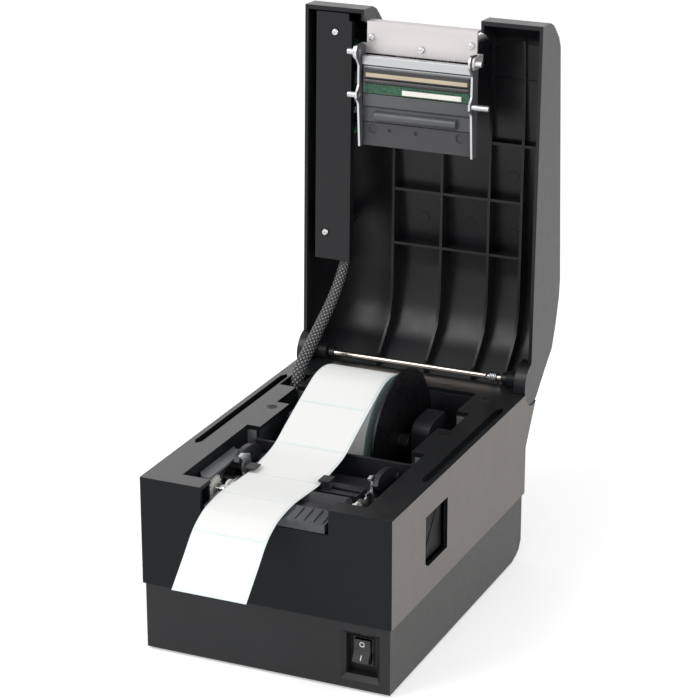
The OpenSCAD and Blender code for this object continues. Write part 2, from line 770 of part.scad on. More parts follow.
web_r = roll_r + 0.3;
web_dy = 78.4 - roll_y;
web_dz = deck_z - 4.6 - roll_z;
web_turn = atan2(web_dz, web_dy) - acos(web_r / norm([web_dy, web_dz]));
web_path = concat(
  [[-43.5, deck_z - 39], [-30, deck_z - 26.2], [-19, deck_z - 15.6], [-9, deck_z - 10.2],
   [-1, deck_z - 8.1], [14.4, deck_z - 6.75], [35, deck_z - 7.95], [47.2, deck_z - 8.4],
   [60, deck_z - 7.4], [78.4, deck_z - 4.6]],
  [for (a = [0 : 6 : 54]) [roll_y + web_r * cos(web_turn - a),
    roll_z + web_r * sin(web_turn - a)]]);

module label_web() {
  n = len(web_path);
  color([0.95, 0.94, 0.94]) base_at() prism(web_x0, web_x1, concat(
    web_path,
    [for (i = [n - 1 : -1 : 0])
      let (a = web_path[max(0, i - 1)], b = web_path[min(n - 1, i + 1)],
           l = norm(b - a))
      [web_path[i][0] - (b[1] - a[1]) / l * web_t,
       web_path[i][1] + (b[0] - a[0]) / l * web_t]]));
}

// --- hinge ---------------------------------------------------------------

module hinge_rod() {
  color([0.75, 0.76, 0.78]) base_at() xcyl(-ear_x - 4, ear_x + 4, hinge_y, hinge_z, rod_r);
}

module hinge_collars() {
  color([0.62, 0.63, 0.65]) base_at() pair() difference() {
    xcyl(lug_x0 - 4, lug_x0 - 0.1, hinge_y, hinge_z, 2.6);
    xcyl(lug_x0 - 6, lug_x0 + 1, hinge_y, hinge_z, rod_r + seat_gap);
  }
}

wire_r = 0.5;
coil_x = 46.4;
coil_pitch = 1.05;
coil_n = 4;

module torsion_spring() {
  r = rod_r + 0.9;
  color([0.66, 0.67, 0.69]) base_at() {
    for (i = [0 : coil_n - 1]) translate([coil_x + i * coil_pitch, hinge_y, hinge_z])
      rotate([0, 90, 0]) rotate_extrude() translate([r, 0]) circle(r = wire_r, $fn = 36);
    ycyl(coil_x - coil_pitch, hinge_y - 11, hinge_y, hinge_z + r, wire_r);
    zcyl(coil_x + coil_n * coil_pitch, hinge_y + r, hinge_z - 8, hinge_z, wire_r);
  }
}

cable_top_r = 2.8;
cable_foot_r = 4.2;
cable_path = [
  [-49.2, hinge_y + 8, hinge_z + 67.7],
  [-49.2, hinge_y + 7, hinge_z + 62.7],
  [-49.3, hinge_y + 5, hinge_z + 54],
  [-50.8, hinge_y + 1, hinge_z + 44],
  [-52.8, hinge_y - 6, hinge_z + 33],
  [-55.6, hinge_y - 16, hinge_z + 21],
  [-57.7, hinge_y - 27, hinge_z + 10],
  [-58.6, hinge_y - 35.5, hinge_z + 2.5],
  [-58.8, hinge_y - 40, hinge_z - 6],
  [-58.5, hinge_y - 41.5, hinge_z - 16],
  [-58.5, hinge_y - 42, hinge_z - 27]];
ring_n = 12;

function unit(v) = v / norm(v);
function ring(i) =
  let (n = len(cable_path),
       t = unit(cable_path[min(n - 1, i + 1)] - cable_path[max(0, i - 1)]),
       u = unit([1, 0, 0] - t * t[0]),
       w = cross(t, u),
       r = cable_top_r + (cable_foot_r - cable_top_r) * i / (n - 1))
  [for (k = [0 : ring_n - 1])
    cable_path[i] + r * (u * cos(k * 360 / ring_n) + w * sin(k * 360 / ring_n))];

module cable_sleeve() {
  n = len(cable_path);
  color([0.07, 0.07, 0.07]) base_at() polyhedron(
    points = [for (i = [0 : n - 1], p = ring(i)) p],
    faces = concat(
      [[for (k = [0 : ring_n - 1]) k]],
      [for (i = [0 : n - 2], k = [0 : ring_n - 1])
        let (a = i * ring_n + k, b = i * ring_n + (k + 1) % ring_n)
        [a, a + ring_n, b + ring_n, b]],
      [[for (k = [ring_n - 1 : -1 : 0]) (n - 1) * ring_n + k]]));
}

// --- lid -----------------------------------------------------------------

rim_z = deck_z + lid_gap;
crown = deck_z + lid_h;
tail_a = 43.2;

function lid_line(t) = [
  [-0.5 + t, rim_z], [-0.3 + t, deck_z + lid_nose_h - t * 0.3],
  [2 + t * 0.95, deck_z + lid_nose_h + 5.4 - t * 0.45],
  [5.9 + t * 0.8, deck_z + lid_nose_h + 9.8 - t * 0.7],
  [10.4 + t * 0.6, deck_z + lid_nose_h + 14.5 - t * 0.85],
  [16.2 + t * 0.4, crown - 14.3 - t * 0.95], [hinge_y - 51, crown - t],
  [hinge_y - 40.5 - t * 0.2, crown - 0.7 - t], [hinge_y - 25 - t * 0.4, crown - 4.9 - t * 0.95],
  [hinge_y - 11.5 - t * 0.6, crown - 10.1 - t * 0.85],
  [hinge_y - 3.8 - t * 0.8, crown - 19.1 - t * 0.5]];
function lid_tail(r) = [for (a = [tail_a, 36, 29, 22, 15])
  [hinge_y + r * cos(a), hinge_z + r * sin(a)]];

roof_rise = 0.1019;

module lid_rib(x) {
  prism(x - 0.8, x + 0.8, [
    [14, crown - 19], [30, crown - 17], [60, crown - 15.5], [hinge_y - 33, crown - 15],
    [hinge_y - 18, crown - 19], [hinge_y - 7, crown - 28], [hinge_y - 1, crown - 34],
    [hinge_y + 6, crown - 35.5], [hinge_y + 8.3, crown - 33.8], [hinge_y - 4.5, crown - 19.8], [hinge_y - 12, crown - 10.6], [hinge_y - 25.4, crown - 5.4],
    [hinge_y - 40.6, crown - 1.2], [hinge_y - 51, crown - 0.5], [16.2, crown - 14.9]]);
}

module lid_bar(x0, x1, y) {
  blk(x0, x1, y - 0.8, y + 0.8, crown - 15, crown - 15.3 + (y - 16.2) * roof_rise);
}

boss_xy = [[-53.3, 14], [-58.6, 133], [-30.6, 14.6], [0.1, 19.3], [30.1, 14.1]];
mouth_x = 35.4;
button_x = -54;
button_y = [32, 48];
pipe_y = [60, 66];

module lid_shell() {
  color([0.12, 0.12, 0.13]) lid_at() difference() {
    union() {
      difference() {
        prism(-lid_x, lid_x, concat(lid_line(0), lid_tail(ear_r - 0.2),
          [[hinge_y, hinge_z], [hinge_y - 12, rim_z]]));
        prism(-lid_in_x, lid_in_x, concat(lid_line(2.4), lid_tail(skirt_r),
          [[hinge_y + 20, hinge_z + 5.3], [hinge_y + 20, deck_z - 20], [1.9, deck_z - 20]]));
      }
      pair() prism(mouth_x + 0.1, mouth_x + 1.7, [
        [-0.4, rim_z], [-0.2, deck_z + lid_nose_h], [5.9, deck_z + lid_nose_h + 9.7],
        [16.2, crown - 14.5], [18.4, crown - 15], [18, crown - 22], [9, rim_z + 8],
        [6, rim_z]]);
      pair() xcyl(ear_x, lid_x, hinge_y, hinge_z, ear_r);
      for (x = [-28, 2.5, 32, 52]) lid_rib(x);
      lid_bar(-28, 52, hinge_y - 97.5);
      lid_bar(-28, 52, hinge_y - 64.5);
      lid_bar(32, 60, 38);
      lid_bar(32, 60, 76);
      intersection() {
        for (p = boss_xy) zcyl(p[0], p[1], rim_z + 3.1, crown, 3.6);
        prism(-lid_x, lid_x, concat(lid_line(0.6), [[hinge_y, rim_z]]));
      }
    }
    prism(-mouth_x, mouth_x, [
      [-2, rim_z - 1], [3.4, rim_z - 1], [3.4, rim_z + 0.6], [16.3, crown - 14.1],
      [-2, crown - 14.1]]);
    pair() xcyl(ear_x - 0.1, ear_x + 4.5, hinge_y, hinge_z, rod_r + run_gap);
    for (p = boss_xy) zcyl(p[0], p[1], rim_z - 1, rim_z + 13, 1.45);
    for (y = button_y) zcyl(button_x, y, crown - 30, crown + 5, 5.1);
    for (y = pipe_y) zcyl(button_x, y, crown - 30, crown + 5, 1.6);
  }
}

module board_cover() {
  color([0.13, 0.13, 0.14]) lid_at() difference() {
    union() {
      translate([0, 0, rim_z + 0.2]) linear_extrude(1.8) polygon([
        [-65, 2.8], [-44.8, 2.8], [-44.8, 7], [-43, 7], [-43, 149], [-65, 149]]);
      blk(-65, -63.6, 2.8, 149, rim_z + 1, rim_z + 3);
      blk(-44.4, -43, 7, 149, rim_z + 1, rim_z + 5);
    }
    for (i = [0, 1]) {
      zcyl(boss_xy[i][0], boss_xy[i][1], rim_z - 1, rim_z + 5, 1.7);
      zcyl(boss_xy[i][0], boss_xy[i][1], rim_z - 1, rim_z + 1, 2.6);
    }
  }
}

module lid_screw(x, y, z, len) {
  difference() {
    union() {
      zcyl(x, y, z, z + 0.9, 1.9);
      zcyl(x, y, z + 0.8, z + len, 1.4);
    }
    blk(x - 1.5, x + 1.5, y - 0.3, y + 0.3, z - 1, z + 0.5);
  }
}

module lid_screws() {
  color([0.7, 0.7, 0.72]) lid_at() {
    for (i = [0, 1]) lid_screw(boss_xy[i][0], boss_xy[i][1], rim_z + 0.1, 11);
    for (i = [2 : 4]) lid_screw(boss_xy[i][0], boss_xy[i][1], rim_z - 1, 12);
  }
}

ctrl_z = crown - 27;

module control_board() {
  color([0.08, 0.30, 0.17]) lid_at() union() {
    blk(-64, -50.8, 22, 82, ctrl_z, ctrl_z + 1.6);
    blk(-63, -51.5, 64, 78, ctrl_z - 5, ctrl_z + 0.1);
    for (y = button_y) zcyl(button_x, y, ctrl_z + 1.5, ctrl_z + 3, 2.4);
    for (x = [-62, -52.4], y = [24.5, 77]) zcyl(x, y, ctrl_z + 1.5,
      crown - 17 + (y - 16.2) * roof_rise, 1.8);
  }
}

module lid_button(y) {
  z1 = crown - 13.6 + (y - 16.2) * roof_rise;
  union() {
    zcyl(button_x, y, z1 - 5, z1 + 1.2, 5);
    zcyl(button_x, y, ctrl_z + 4.4, z1 - 4, 2);
  }
}

module feed_button() {
  color([0.30, 0.31, 0.33]) lid_at() lid_button(button_y[0]);
}

module pause_button() {
  color([0.30, 0.31, 0.33]) lid_at() lid_button(button_y[1]);
}

module light_pipes() {
  color([0.85, 0.90, 0.92]) lid_at() for (y = pipe_y)
    zcyl(button_x, y, ctrl_z + 2.2, crown - 14 + (y - 16.2) * roof_rise + 0.2, 1.5);
}

// --- print head ----------------------------------------------------------

mount_z0 = rim_z + 0.1;
mount_z1 = mount_z0 + 1.4;

module head_mount() {
  color([0.55, 0.56, 0.58]) lid_at() difference() {
    union() {
      blk(-33.4, 33.4, 5.7, 24, mount_z0, mount_z1);
      blk(-33.4, 33.4, 5.7, 6.9, mount_z0, mount_z0 + 7);
      pair() blk(33, plate_x1 - 0.1, 18.4, 24, mount_z0, mount_z1);
      pair() prism(plate_x1 - 1.3, plate_x1 - 0.1, [
        [18.4, mount_z1], [18.4, pin_z - 1.4], [20.4, pin_z - 2.9], [23.2, pin_z - 2.9],
        [25.2, pin_z - 1.4], [25.2, mount_z1]]);
    }
    for (i = [2 : 4]) zcyl(boss_xy[i][0], boss_xy[i][1], mount_z0 - 1, mount_z1 + 1, 1.5);
    xcyl(-50, 50, pivot_y, pin_z, pin_r + run_gap);
  }
}

module head_springs() {
  color([0.70, 0.70, 0.72]) lid_at() pair() union() {
    blk(8, 16, 10, 30, mount_z1 + seat_gap, mount_z1 + 0.5);
    blk(8, 16, 29.5, 46, mount_z1 + 0.2, mount_z1 + 0.6);
  }
}

module head_bracket() {
  z1 = deck_z - 0.8;
  color([0.16, 0.16, 0.17]) lid_at() difference() {
    union() {
      blk(-35, 35, 25.5, 77, z1 - 1.2, z1);
      pair() prism(33.8, 35, [
        [17.6, deck_z - 7.6], [17.2, deck_z - 9.7], [17.8, deck_z - 12], [19.6, deck_z - 13.7],
        [22, deck_z - 14.2], [24.6, deck_z - 13.4], [26.6, deck_z - 11.2], [29.5, deck_z - 9.2],
        [41, deck_z - 9.2], [43.4, deck_z - 11], [44.8, deck_z - 12.6], [48.2, deck_z - 12.6],
        [49.6, deck_z - 11], [52, deck_z - 9.2],
        [62, deck_z - 8.2], [77, deck_z - 6.8], [77, z1 - 0.1], [19, z1 - 0.1], [17.8, z1 - 3]]);
    }
    xcyl(-50, 50, pivot_y, pin_z, pin_r + seat_gap);
    xcyl(-50, 50, pin_y, pin_z, pin_r + seat_gap);
  }
}

module head_pins() {
  color([0.80, 0.81, 0.83]) lid_at() union() {
    pair() xcyl(33.5, 40.6, pivot_y, pin_z, pin_r);
    xcyl(33.95, 45.4, pin_y, pin_z, pin_r);
    xcyl(-40.2, -33.95, pin_y, pin_z, pin_r);
  }
}

head_top = deck_z - 2.05;

module heat_sink() {
  color([0.72, 0.73, 0.75]) lid_at() blk(-33.3, 33.3, 30.2, 46, deck_z - 4.6, head_top);
}

module print_head() {
  color([0.85, 0.72, 0.48]) lid_at() union() {
    blk(-32, 32, 31.4, 36.7, deck_z - 6.9, deck_z - 4.65);
    xcyl(-32, 32, 38.4, deck_z - 6.1, 1.4);
  }
}

module head_bar() {
  color([0.86, 0.87, 0.88]) lid_at() blk(-33.5, 33.5, 24.3, 29.4, deck_z - 6.4, head_top);
}

module head_board() {
  color([0.10, 0.36, 0.20]) lid_at() blk(-32, 32, 40.2, 45.6, deck_z - 5.6, deck_z - 4.65);
}

module head_connector() {
  color([0.90, 0.89, 0.84]) lid_at() blk(-8.5, 27.4, 42, 44.8, deck_z - 6.9, deck_z - 5.65);
}

module head_guard() {
  color([0.15, 0.15, 0.16]) lid_at() union() {
    prism(-33.4, 33.4, [
      [46.2, head_top], [46.2, deck_z - 4.8], [47.4, deck_z - 5.2], [53.4, deck_z - 4.4],
      [54.6, deck_z - 3], [62.8, deck_z - 3], [62.8, head_top]]);
    intersection() {
      xcyl(-26, 24, 59, deck_z - 3.4, 3);
      blk(-30, 30, 50, 62.8, deck_z - 8, head_top);
    }
  }
}

module head_cover() {
  color([0.11, 0.11, 0.12]) lid_at() difference() {
    blk(-33.4, 33.4, 63.1, 76.6, deck_z - 3.2, head_top);
    for (x = [-27.5, 25.8]) zcyl(x, 67, deck_z - 4, deck_z - 2.4, 2.6);
    for (x = [-17, -0.8]) zcyl(x, 67, deck_z - 4, deck_z - 2.4, 1.2);
  }
}

// --- selection -----------------------------------------------------------

lower_tray();
upper_casing();
roll_bay();
rubber_feet();
base_screws();
main_board();
board_parts();
dc_jack();
usb_port();
power_switch();
power_rocker();
mechanism_frame();
frame_arms();
front_lip();
front_guide();
platen_roller();
platen_shaft();
platen_gear();
platen_bearings();
idler_axle();
idler_gear();
stepper_motor();
motor_shaft();
motor_pinion();
gear_cover();
guide_rail();
guide_left();
guide_right();
gap_sensor();
latch_shaft();
latch_hooks();
release_levers();
roll_holder_left();
roll_carriage_right();
roll_flange_right();
label_core();
label_roll();
label_web();
hinge_rod();
hinge_collars();
torsion_spring();
cable_sleeve();
lid_shell();
board_cover();
lid_screws();
control_board();
feed_button();
pause_button();
light_pipes();
head_mount();
head_springs();
head_bracket();
head_pins();
heat_sink();
print_head();
head_bar();
head_board();
head_connector();
head_guard();
head_cover();
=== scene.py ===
"""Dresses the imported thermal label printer: finishes, paper, sleeve, marks, light and camera."""

import json
import logging
import math
from dataclasses import dataclass, field, replace
from enum import Enum

import bmesh
import bpy
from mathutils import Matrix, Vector

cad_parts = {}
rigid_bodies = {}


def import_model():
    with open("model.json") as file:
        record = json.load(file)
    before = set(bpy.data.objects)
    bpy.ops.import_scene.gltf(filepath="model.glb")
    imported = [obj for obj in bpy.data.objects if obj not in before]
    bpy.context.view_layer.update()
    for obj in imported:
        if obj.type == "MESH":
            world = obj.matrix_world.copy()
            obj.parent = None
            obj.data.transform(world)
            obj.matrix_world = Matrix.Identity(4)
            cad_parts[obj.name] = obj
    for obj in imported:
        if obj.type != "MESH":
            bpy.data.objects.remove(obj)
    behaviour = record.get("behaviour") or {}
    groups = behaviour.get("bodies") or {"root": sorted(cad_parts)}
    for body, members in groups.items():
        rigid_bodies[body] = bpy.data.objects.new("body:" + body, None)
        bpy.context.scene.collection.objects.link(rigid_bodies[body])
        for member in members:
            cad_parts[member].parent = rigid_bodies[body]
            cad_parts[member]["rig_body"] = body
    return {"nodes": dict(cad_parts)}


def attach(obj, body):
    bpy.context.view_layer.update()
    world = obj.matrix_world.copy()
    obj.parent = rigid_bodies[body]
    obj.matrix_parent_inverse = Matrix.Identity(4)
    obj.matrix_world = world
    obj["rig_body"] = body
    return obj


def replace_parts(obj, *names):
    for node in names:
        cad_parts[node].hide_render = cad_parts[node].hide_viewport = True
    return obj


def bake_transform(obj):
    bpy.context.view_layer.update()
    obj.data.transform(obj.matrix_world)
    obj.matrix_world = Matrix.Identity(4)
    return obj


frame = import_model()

Pair = tuple[float, float]
Triple = tuple[float, float, float]
Mesh, Object = bpy.types.Mesh, bpy.types.Object
Tree, Socket = bpy.types.NodeTree, bpy.types.NodeSocket
LOG = logging.getLogger("printer")
MM = 0.001
ORIGIN_DEPTH = 103.5
HINGE_DEPTH = 207.5
HINGE_HEIGHT = 104.3
OPEN_ANGLE = math.radians(91.5)
ROLL_DEPTH = 142.0
ROLL_HEIGHT = 82.0
ROLL_CENTRE = (0.0, (ROLL_DEPTH - ORIGIN_DEPTH) * MM, ROLL_HEIGHT * MM)
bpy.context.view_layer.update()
WHITE = (1, 1, 1, 1)
# Noise values between which a surface changes, and how fast it does so per metre.
LOW, HIGH = 0.3, 0.7
SHADE_SCALE, GLOSS_SCALE = 32.0, 140.0
COAT_ROUGHNESS = 0.12
# With this scale the diagonal bands repeat each time u + v grows by 0.75.
WEAVE_SCALE = 0.83776


def at(x: float, depth: float, height: float) -> Vector:
    """Turns millimetres from the front face into a point of the frame.

    Args:
        x: Distance to the right of the middle.
        depth: Distance behind the front face.
        height: Height above the table.

    Returns:
        The point in metres.
    """
    return Vector((x * MM, (depth - ORIGIN_DEPTH) * MM, height * MM))


def lid_at(x: float, depth: float, height: float) -> Vector:
    """Turns a point of the closed lid into its place on the open lid.

    Args:
        x: Distance to the right of the middle, in millimetres.
        depth: Distance behind the front face with the lid closed.
        height: Height above the table with the lid closed.

    Returns:
        The point in metres with the lid open.
    """
    back, up = depth - HINGE_DEPTH, height - HINGE_HEIGHT
    cos, sin = math.cos(OPEN_ANGLE), math.sin(OPEN_ANGLE)
    return at(x, HINGE_DEPTH + back * cos + up * sin, HINGE_HEIGHT - back * sin + up * cos)


class Grain(Enum):
    """The ways in which a surface is broken up."""

    SPARK = "spark"
    BRUSHED = "brushed"
    FIBRE = "fibre"
    BRAID = "braid"
    RINGS = "rings"
    TRACKS = "tracks"


def add_node(tree: Tree, kind: str, inputs: dict[int | str, object],
             **settings: str) -> bpy.types.Node:
    """Adds one node with its settings and inputs.

    Args:
        tree: The node tree.
        kind: The type of the node.
        inputs: For each input either its value or the socket that feeds it.
        settings: The node's own settings, set before its inputs.

    Returns:
        The new node.
    """
    node = tree.nodes.new(kind)
    for name, value in settings.items():
        setattr(node, name, value)
    for key, value in inputs.items():
        if isinstance(value, Socket):
            tree.links.new(value, node.inputs[key])
        else:
            node.inputs[key].default_value = value
    return node


@dataclass(frozen=True)
class Finish:
    """A colour and surface of one kind of piece, with its texture in real sizes."""

    name: str
    colour: Triple
    slot: str
    grain: Grain = Grain.SPARK
    roughness: float = 0.42
    metallic: float = 0.0
    spread: float = 0.06
    tint: float = 0.12
    bump: float = 0.12
    pitch_mm: float = 0.6
    coat: float = 0.0
    specular: float = 0.5
    clear: float = 0.0
    centre: Triple = (0.0, 0.0, 0.0)

    def material(self) -> bpy.types.Material:
        """Returns the material of this finish, built on its first use."""
        found = bpy.data.materials.get(self.name)
        if found:
            return found
        mat = bpy.data.materials.new(self.name)
        mat.use_nodes = True
        tree = mat.node_tree
        tree.nodes.clear()
        shader = add_node(tree, "ShaderNodeBsdfPrincipled", {
            "Metallic": self.metallic, "Coat Weight": self.coat, "Coat Roughness": COAT_ROUGHNESS,
            "Specular IOR Level": self.specular, "Transmission Weight": self.clear})
        add_node(tree, "ShaderNodeOutputMaterial", {0: shader.outputs[0]})
        self._pattern(tree, shader)
        return mat

    def _coordinates(self, tree: Tree) -> Socket:
        """Returns the coordinate socket that this grain reads.

        Args:
            tree: The material's node tree.
        """
        source = tree.nodes.new("ShaderNodeTexCoord")
        stretch = {
            Grain.BRUSHED: (0.06, 1.0, 1.0),
            Grain.FIBRE: (1.0, 0.5, 1.0),
        }.get(self.grain, (1.0, 1.0, 1.0))
        return add_node(tree, "ShaderNodeMapping", {
            "Vector": source.outputs["UV" if self.grain is Grain.BRAID else "Object"],
            "Location": [-c for c in self.centre], "Scale": stretch}).outputs[0]

    def _noise(self, tree: Tree, where: Socket, scale: float,
               detail: float) -> Socket:
        """Adds one noise texture.

        Args:
            tree: The material's node tree.
            where: The coordinate socket.
            scale: Features per metre.
            detail: The number of octaves.

        Returns:
            The noise value's socket.
        """
        return add_node(tree, "ShaderNodeTexNoise",
                        {"Vector": where, "Scale": scale, "Detail": detail}).outputs[0]

    def _pattern(self, tree: Tree, shader: bpy.types.Node) -> None:
        """Wires the colour change, the roughness change and the relief.

        Args:
            tree: The material's node tree.
            shader: The principled shader.
        """
        where = self._coordinates(tree)
        scale = 1.0 / (self.pitch_mm * MM)
        relief = self._noise(tree, where, scale, 3.0)
        patterned = True
        if self.grain is Grain.BRAID:
            relief = self._weave(tree, where)
        elif self.grain is Grain.RINGS:
            relief = self._wave(tree, where, "RINGS", "X", 0.5 / (self.pitch_mm * MM), 0.6)
        elif self.grain is Grain.TRACKS:
            relief = add_node(tree, "ShaderNodeTexVoronoi", {"Scale": scale, "Vector": where},
                              distance="CHEBYCHEV").outputs[0]
        else:
            patterned = False
        shade = relief if patterned else self._noise(tree, where, SHADE_SCALE, 4.0)
        ramp = add_node(tree, "ShaderNodeValToRGB", {0: shade})
        for stop, place, share in zip(ramp.color_ramp.elements, (LOW, HIGH), (1 - self.tint, 1 + self.tint)):
            stop.position = place
            stop.color = (*(min(1.0, max(0.0, c * share)) for c in self.colour), 1.0)
        rough = add_node(tree, "ShaderNodeMapRange", {
            "Value": self._noise(tree, where, GLOSS_SCALE, 5.0), "From Min": LOW, "From Max": HIGH,
            "To Min": max(0.03, self.roughness - self.spread),
            "To Max": min(1.0, self.roughness + self.spread)})
        bump = add_node(tree, "ShaderNodeBump", {
            "Strength": self.bump, "Distance": self.pitch_mm * MM * 0.25, "Height": relief})
        for name, node in (("Base Color", ramp), ("Roughness", rough), ("Normal", bump)):
            tree.links.new(node.outputs[0], shader.inputs[name])

    def _wave(self, tree: Tree, where: Socket, kind: str,
              axis: str, scale: float, warp: float = 0.0) -> Socket:
        """Adds one wave texture.

        Args:
            tree: The material's node tree.
            where: The coordinate socket.
            kind: BANDS or RINGS.
            axis: The direction of the bands or rings.
            scale: The texture's scale.
            warp: How far noise bends the wave.

        Returns:
            The wave value's socket.
        """
        return add_node(tree, "ShaderNodeTexWave",
                        {"Vector": where, "Scale": scale, "Distortion": warp, "Detail": 1.0},
                        wave_type=kind, **{kind.lower() + "_direction": axis}).outputs[1]

    def _weave(self, tree: Tree, where: Socket) -> Socket:
        """Returns the crossing strands of a braid on a UV map in braid units.

        Args:
            tree: The material's node tree.
            where: The coordinate socket.
        """
        flip = add_node(tree, "ShaderNodeMapping", {"Scale": (-1.0, 1.0, 1.0), "Vector": where})
        left, right = (self._wave(tree, side, "BANDS", "DIAGONAL", WEAVE_SCALE)
                       for side in (where, flip.outputs[0]))
        return add_node(tree, "ShaderNodeMath", {0: left, 1: right}, operation="MINIMUM").outputs[0]


CASING = Finish("casing_plastic", (0.009, 0.0098, 0.011), "casing_black", roughness=0.36, spread=0.02,
                tint=0.06, bump=0.07, pitch_mm=0.45, specular=0.12)
TRAY = replace(CASING, name="tray_plastic", colour=(0.016, 0.0165, 0.018), specular=0.25)
DECK = replace(CASING, name="casing_deck", colour=(0.008, 0.0085, 0.0095), roughness=0.3, bump=0.05,
               specular=1.0)
# Painted reflection: the side faces of the casing, tray and lid take these lighter copies of their black
# plastic, standing in for the white surroundings that they reflect.
FLANK_PAINTED_REFLECTION = Finish("casing_flank", (0.108, 0.098, 0.090), "casing_black", roughness=0.45, spread=0.02,
               tint=0.03, bump=0.08, pitch_mm=0.45, specular=0.4)
TRAY_FLANK_PAINTED_REFLECTION = replace(FLANK_PAINTED_REFLECTION, name="tray_flank", colour=(0.024, 0.023, 0.022))
LID_FLANK_PAINTED_REFLECTION = replace(FLANK_PAINTED_REFLECTION, name="lid_flank", colour=(0.048, 0.048, 0.050), slot="lid_black")
# Painted light: a lighter grey for the end faces inside the deck openings, which catch the light.
PAINTED_LIGHT = Finish("bay_end_face", (0.15, 0.155, 0.158), "bay_black", roughness=0.4, tint=0.06, bump=0.08)
BAY = Finish("bay_plastic", (0.014, 0.0145, 0.018), "bay_black", roughness=0.4, spread=0.03, tint=0.08,
             bump=0.08, specular=0.4)
LID = Finish("lid_plastic", (0.007, 0.0073, 0.009), "lid_black", roughness=0.3, spread=0.03, tint=0.06,
             bump=0.05, pitch_mm=0.45, specular=0.3)
LIP = Finish("lip_plastic", (0.045, 0.047, 0.052), "lip_black", roughness=0.30, bump=0.06)
LEVER = Finish("lever_plastic", (0.004, 0.004, 0.0045), "lever_black", roughness=0.45, bump=0.04,
               specular=0.08)
FLANGE = Finish("flange_plastic", (0.005, 0.005, 0.006), "lever_black", roughness=0.3, bump=0.02,
                specular=0.25)
SWITCH = Finish("switch_plastic", (0.012, 0.012, 0.014), "switch_black", roughness=0.22, bump=0.03)
MARK = Finish("switch_mark_white", (0.82, 0.82, 0.8), "connector_ivory", roughness=0.5, bump=0.02)
RUBBER = Finish("foot_rubber", (0.02, 0.02, 0.02), "rubber", roughness=0.8, bump=0.3, pitch_mm=0.4)
PLATEN = Finish("platen_rubber", (0.028, 0.028, 0.030), "platen_rubber", roughness=0.55,
                bump=0.15, pitch_mm=0.25)
ROD = Finish("rod_steel", (0.62, 0.55, 0.49), "bright_steel", Grain.BRUSHED, roughness=0.2,
             metallic=1.0, bump=0.04, pitch_mm=0.2)
STEEL = Finish("ground_steel", (0.50, 0.51, 0.52), "bright_steel", Grain.BRUSHED, roughness=0.3,
               metallic=1.0, bump=0.06, pitch_mm=0.2)
SCREW = Finish("screw_zinc", (0.62, 0.62, 0.63), "screw_steel", roughness=0.3,
               metallic=1.0, bump=0.08, pitch_mm=0.3)
DARK_SCREW = replace(SCREW, name="screw_blackened", colour=(0.05, 0.05, 0.052), roughness=0.4, metallic=0.8)
SHEET = Finish("zinc_sheet", (0.58, 0.59, 0.61), "frame_steel", Grain.BRUSHED, roughness=0.34,
               metallic=1.0, bump=0.08, pitch_mm=0.3)
MOUNT = Finish("mount_sheet", (0.60, 0.57, 0.57), "mount_steel", Grain.BRUSHED, roughness=0.4,
               metallic=0.6, bump=0.08, pitch_mm=0.3)
COLLAR = Finish("collar_dark", (0.04, 0.04, 0.042), "frame_steel", roughness=0.4,
                metallic=0.8, bump=0.05)
SPRING = Finish("spring_wire", (0.5, 0.51, 0.53), "spring_steel", roughness=0.3, metallic=1.0)
MOTOR = Finish("motor_can", (0.16, 0.165, 0.175), "motor_steel", Grain.BRUSHED, roughness=0.4, metallic=0.7)
BRASS = Finish("cut_brass", (0.62, 0.46, 0.2), "brass", roughness=0.3, metallic=1.0)
NYLON = Finish("gear_nylon", (0.74, 0.73, 0.68), "nylon_white", roughness=0.45, bump=0.05)
COVER = Finish("cover_plastic", (0.13, 0.135, 0.145), "cover_grey", roughness=0.42, bump=0.12)
BUTTON = Finish("button_plastic", (0.14, 0.145, 0.155), "button_grey", roughness=0.4, bump=0.1)
CHIP = Finish("chip_epoxy", (0.02, 0.02, 0.022), "chip_black", roughness=0.5, bump=0.1)
HEAD = Finish("head_black", (0.032, 0.033, 0.036), "head_black", roughness=0.38, bump=0.12)
GUARD = Finish("head_guard_grey", (0.07, 0.072, 0.078), "head_black", roughness=0.34, bump=0.1)
ALLOY = Finish("milled_alloy", (0.50, 0.51, 0.52), "heat_alu", Grain.BRUSHED, roughness=0.38,
               metallic=1.0, bump=0.06, pitch_mm=0.2)
STRIP = Finish("heater_glaze", (0.46, 0.38, 0.26), "head_tan", roughness=0.22, coat=0.5,
               bump=0.03)
GRAPHITE = Finish("head_block_dark", (0.03, 0.03, 0.033), "head_tan", roughness=0.3,
                  bump=0.04)
IVORY = Finish("connector_nylon", (0.78, 0.77, 0.7), "connector_ivory", roughness=0.45, bump=0.05)
BOARD = Finish("board_green", (0.02, 0.13, 0.06), "board_green", Grain.TRACKS, roughness=0.35, tint=0.5,
               bump=0.15, pitch_mm=2.4)
FINE_BOARD = replace(BOARD, name="head_board_green", colour=(0.02, 0.11, 0.055), tint=0.7, pitch_mm=0.8)
PIPE = Finish("light_pipe_clear", (0.8, 0.88, 0.9), "led_clear", roughness=0.08, clear=0.7, bump=0.01)
LABEL = Finish("label_paper", (0.9, 0.875, 0.885), "label_paper", Grain.FIBRE, roughness=0.55,
               tint=0.015, bump=0.04, pitch_mm=0.3, specular=0.35)
LINER = Finish("liner_paper", (0.78, 0.85, 0.845), "label_paper", Grain.FIBRE, roughness=0.42,
               tint=0.03, bump=0.03, pitch_mm=0.3, specular=0.4)
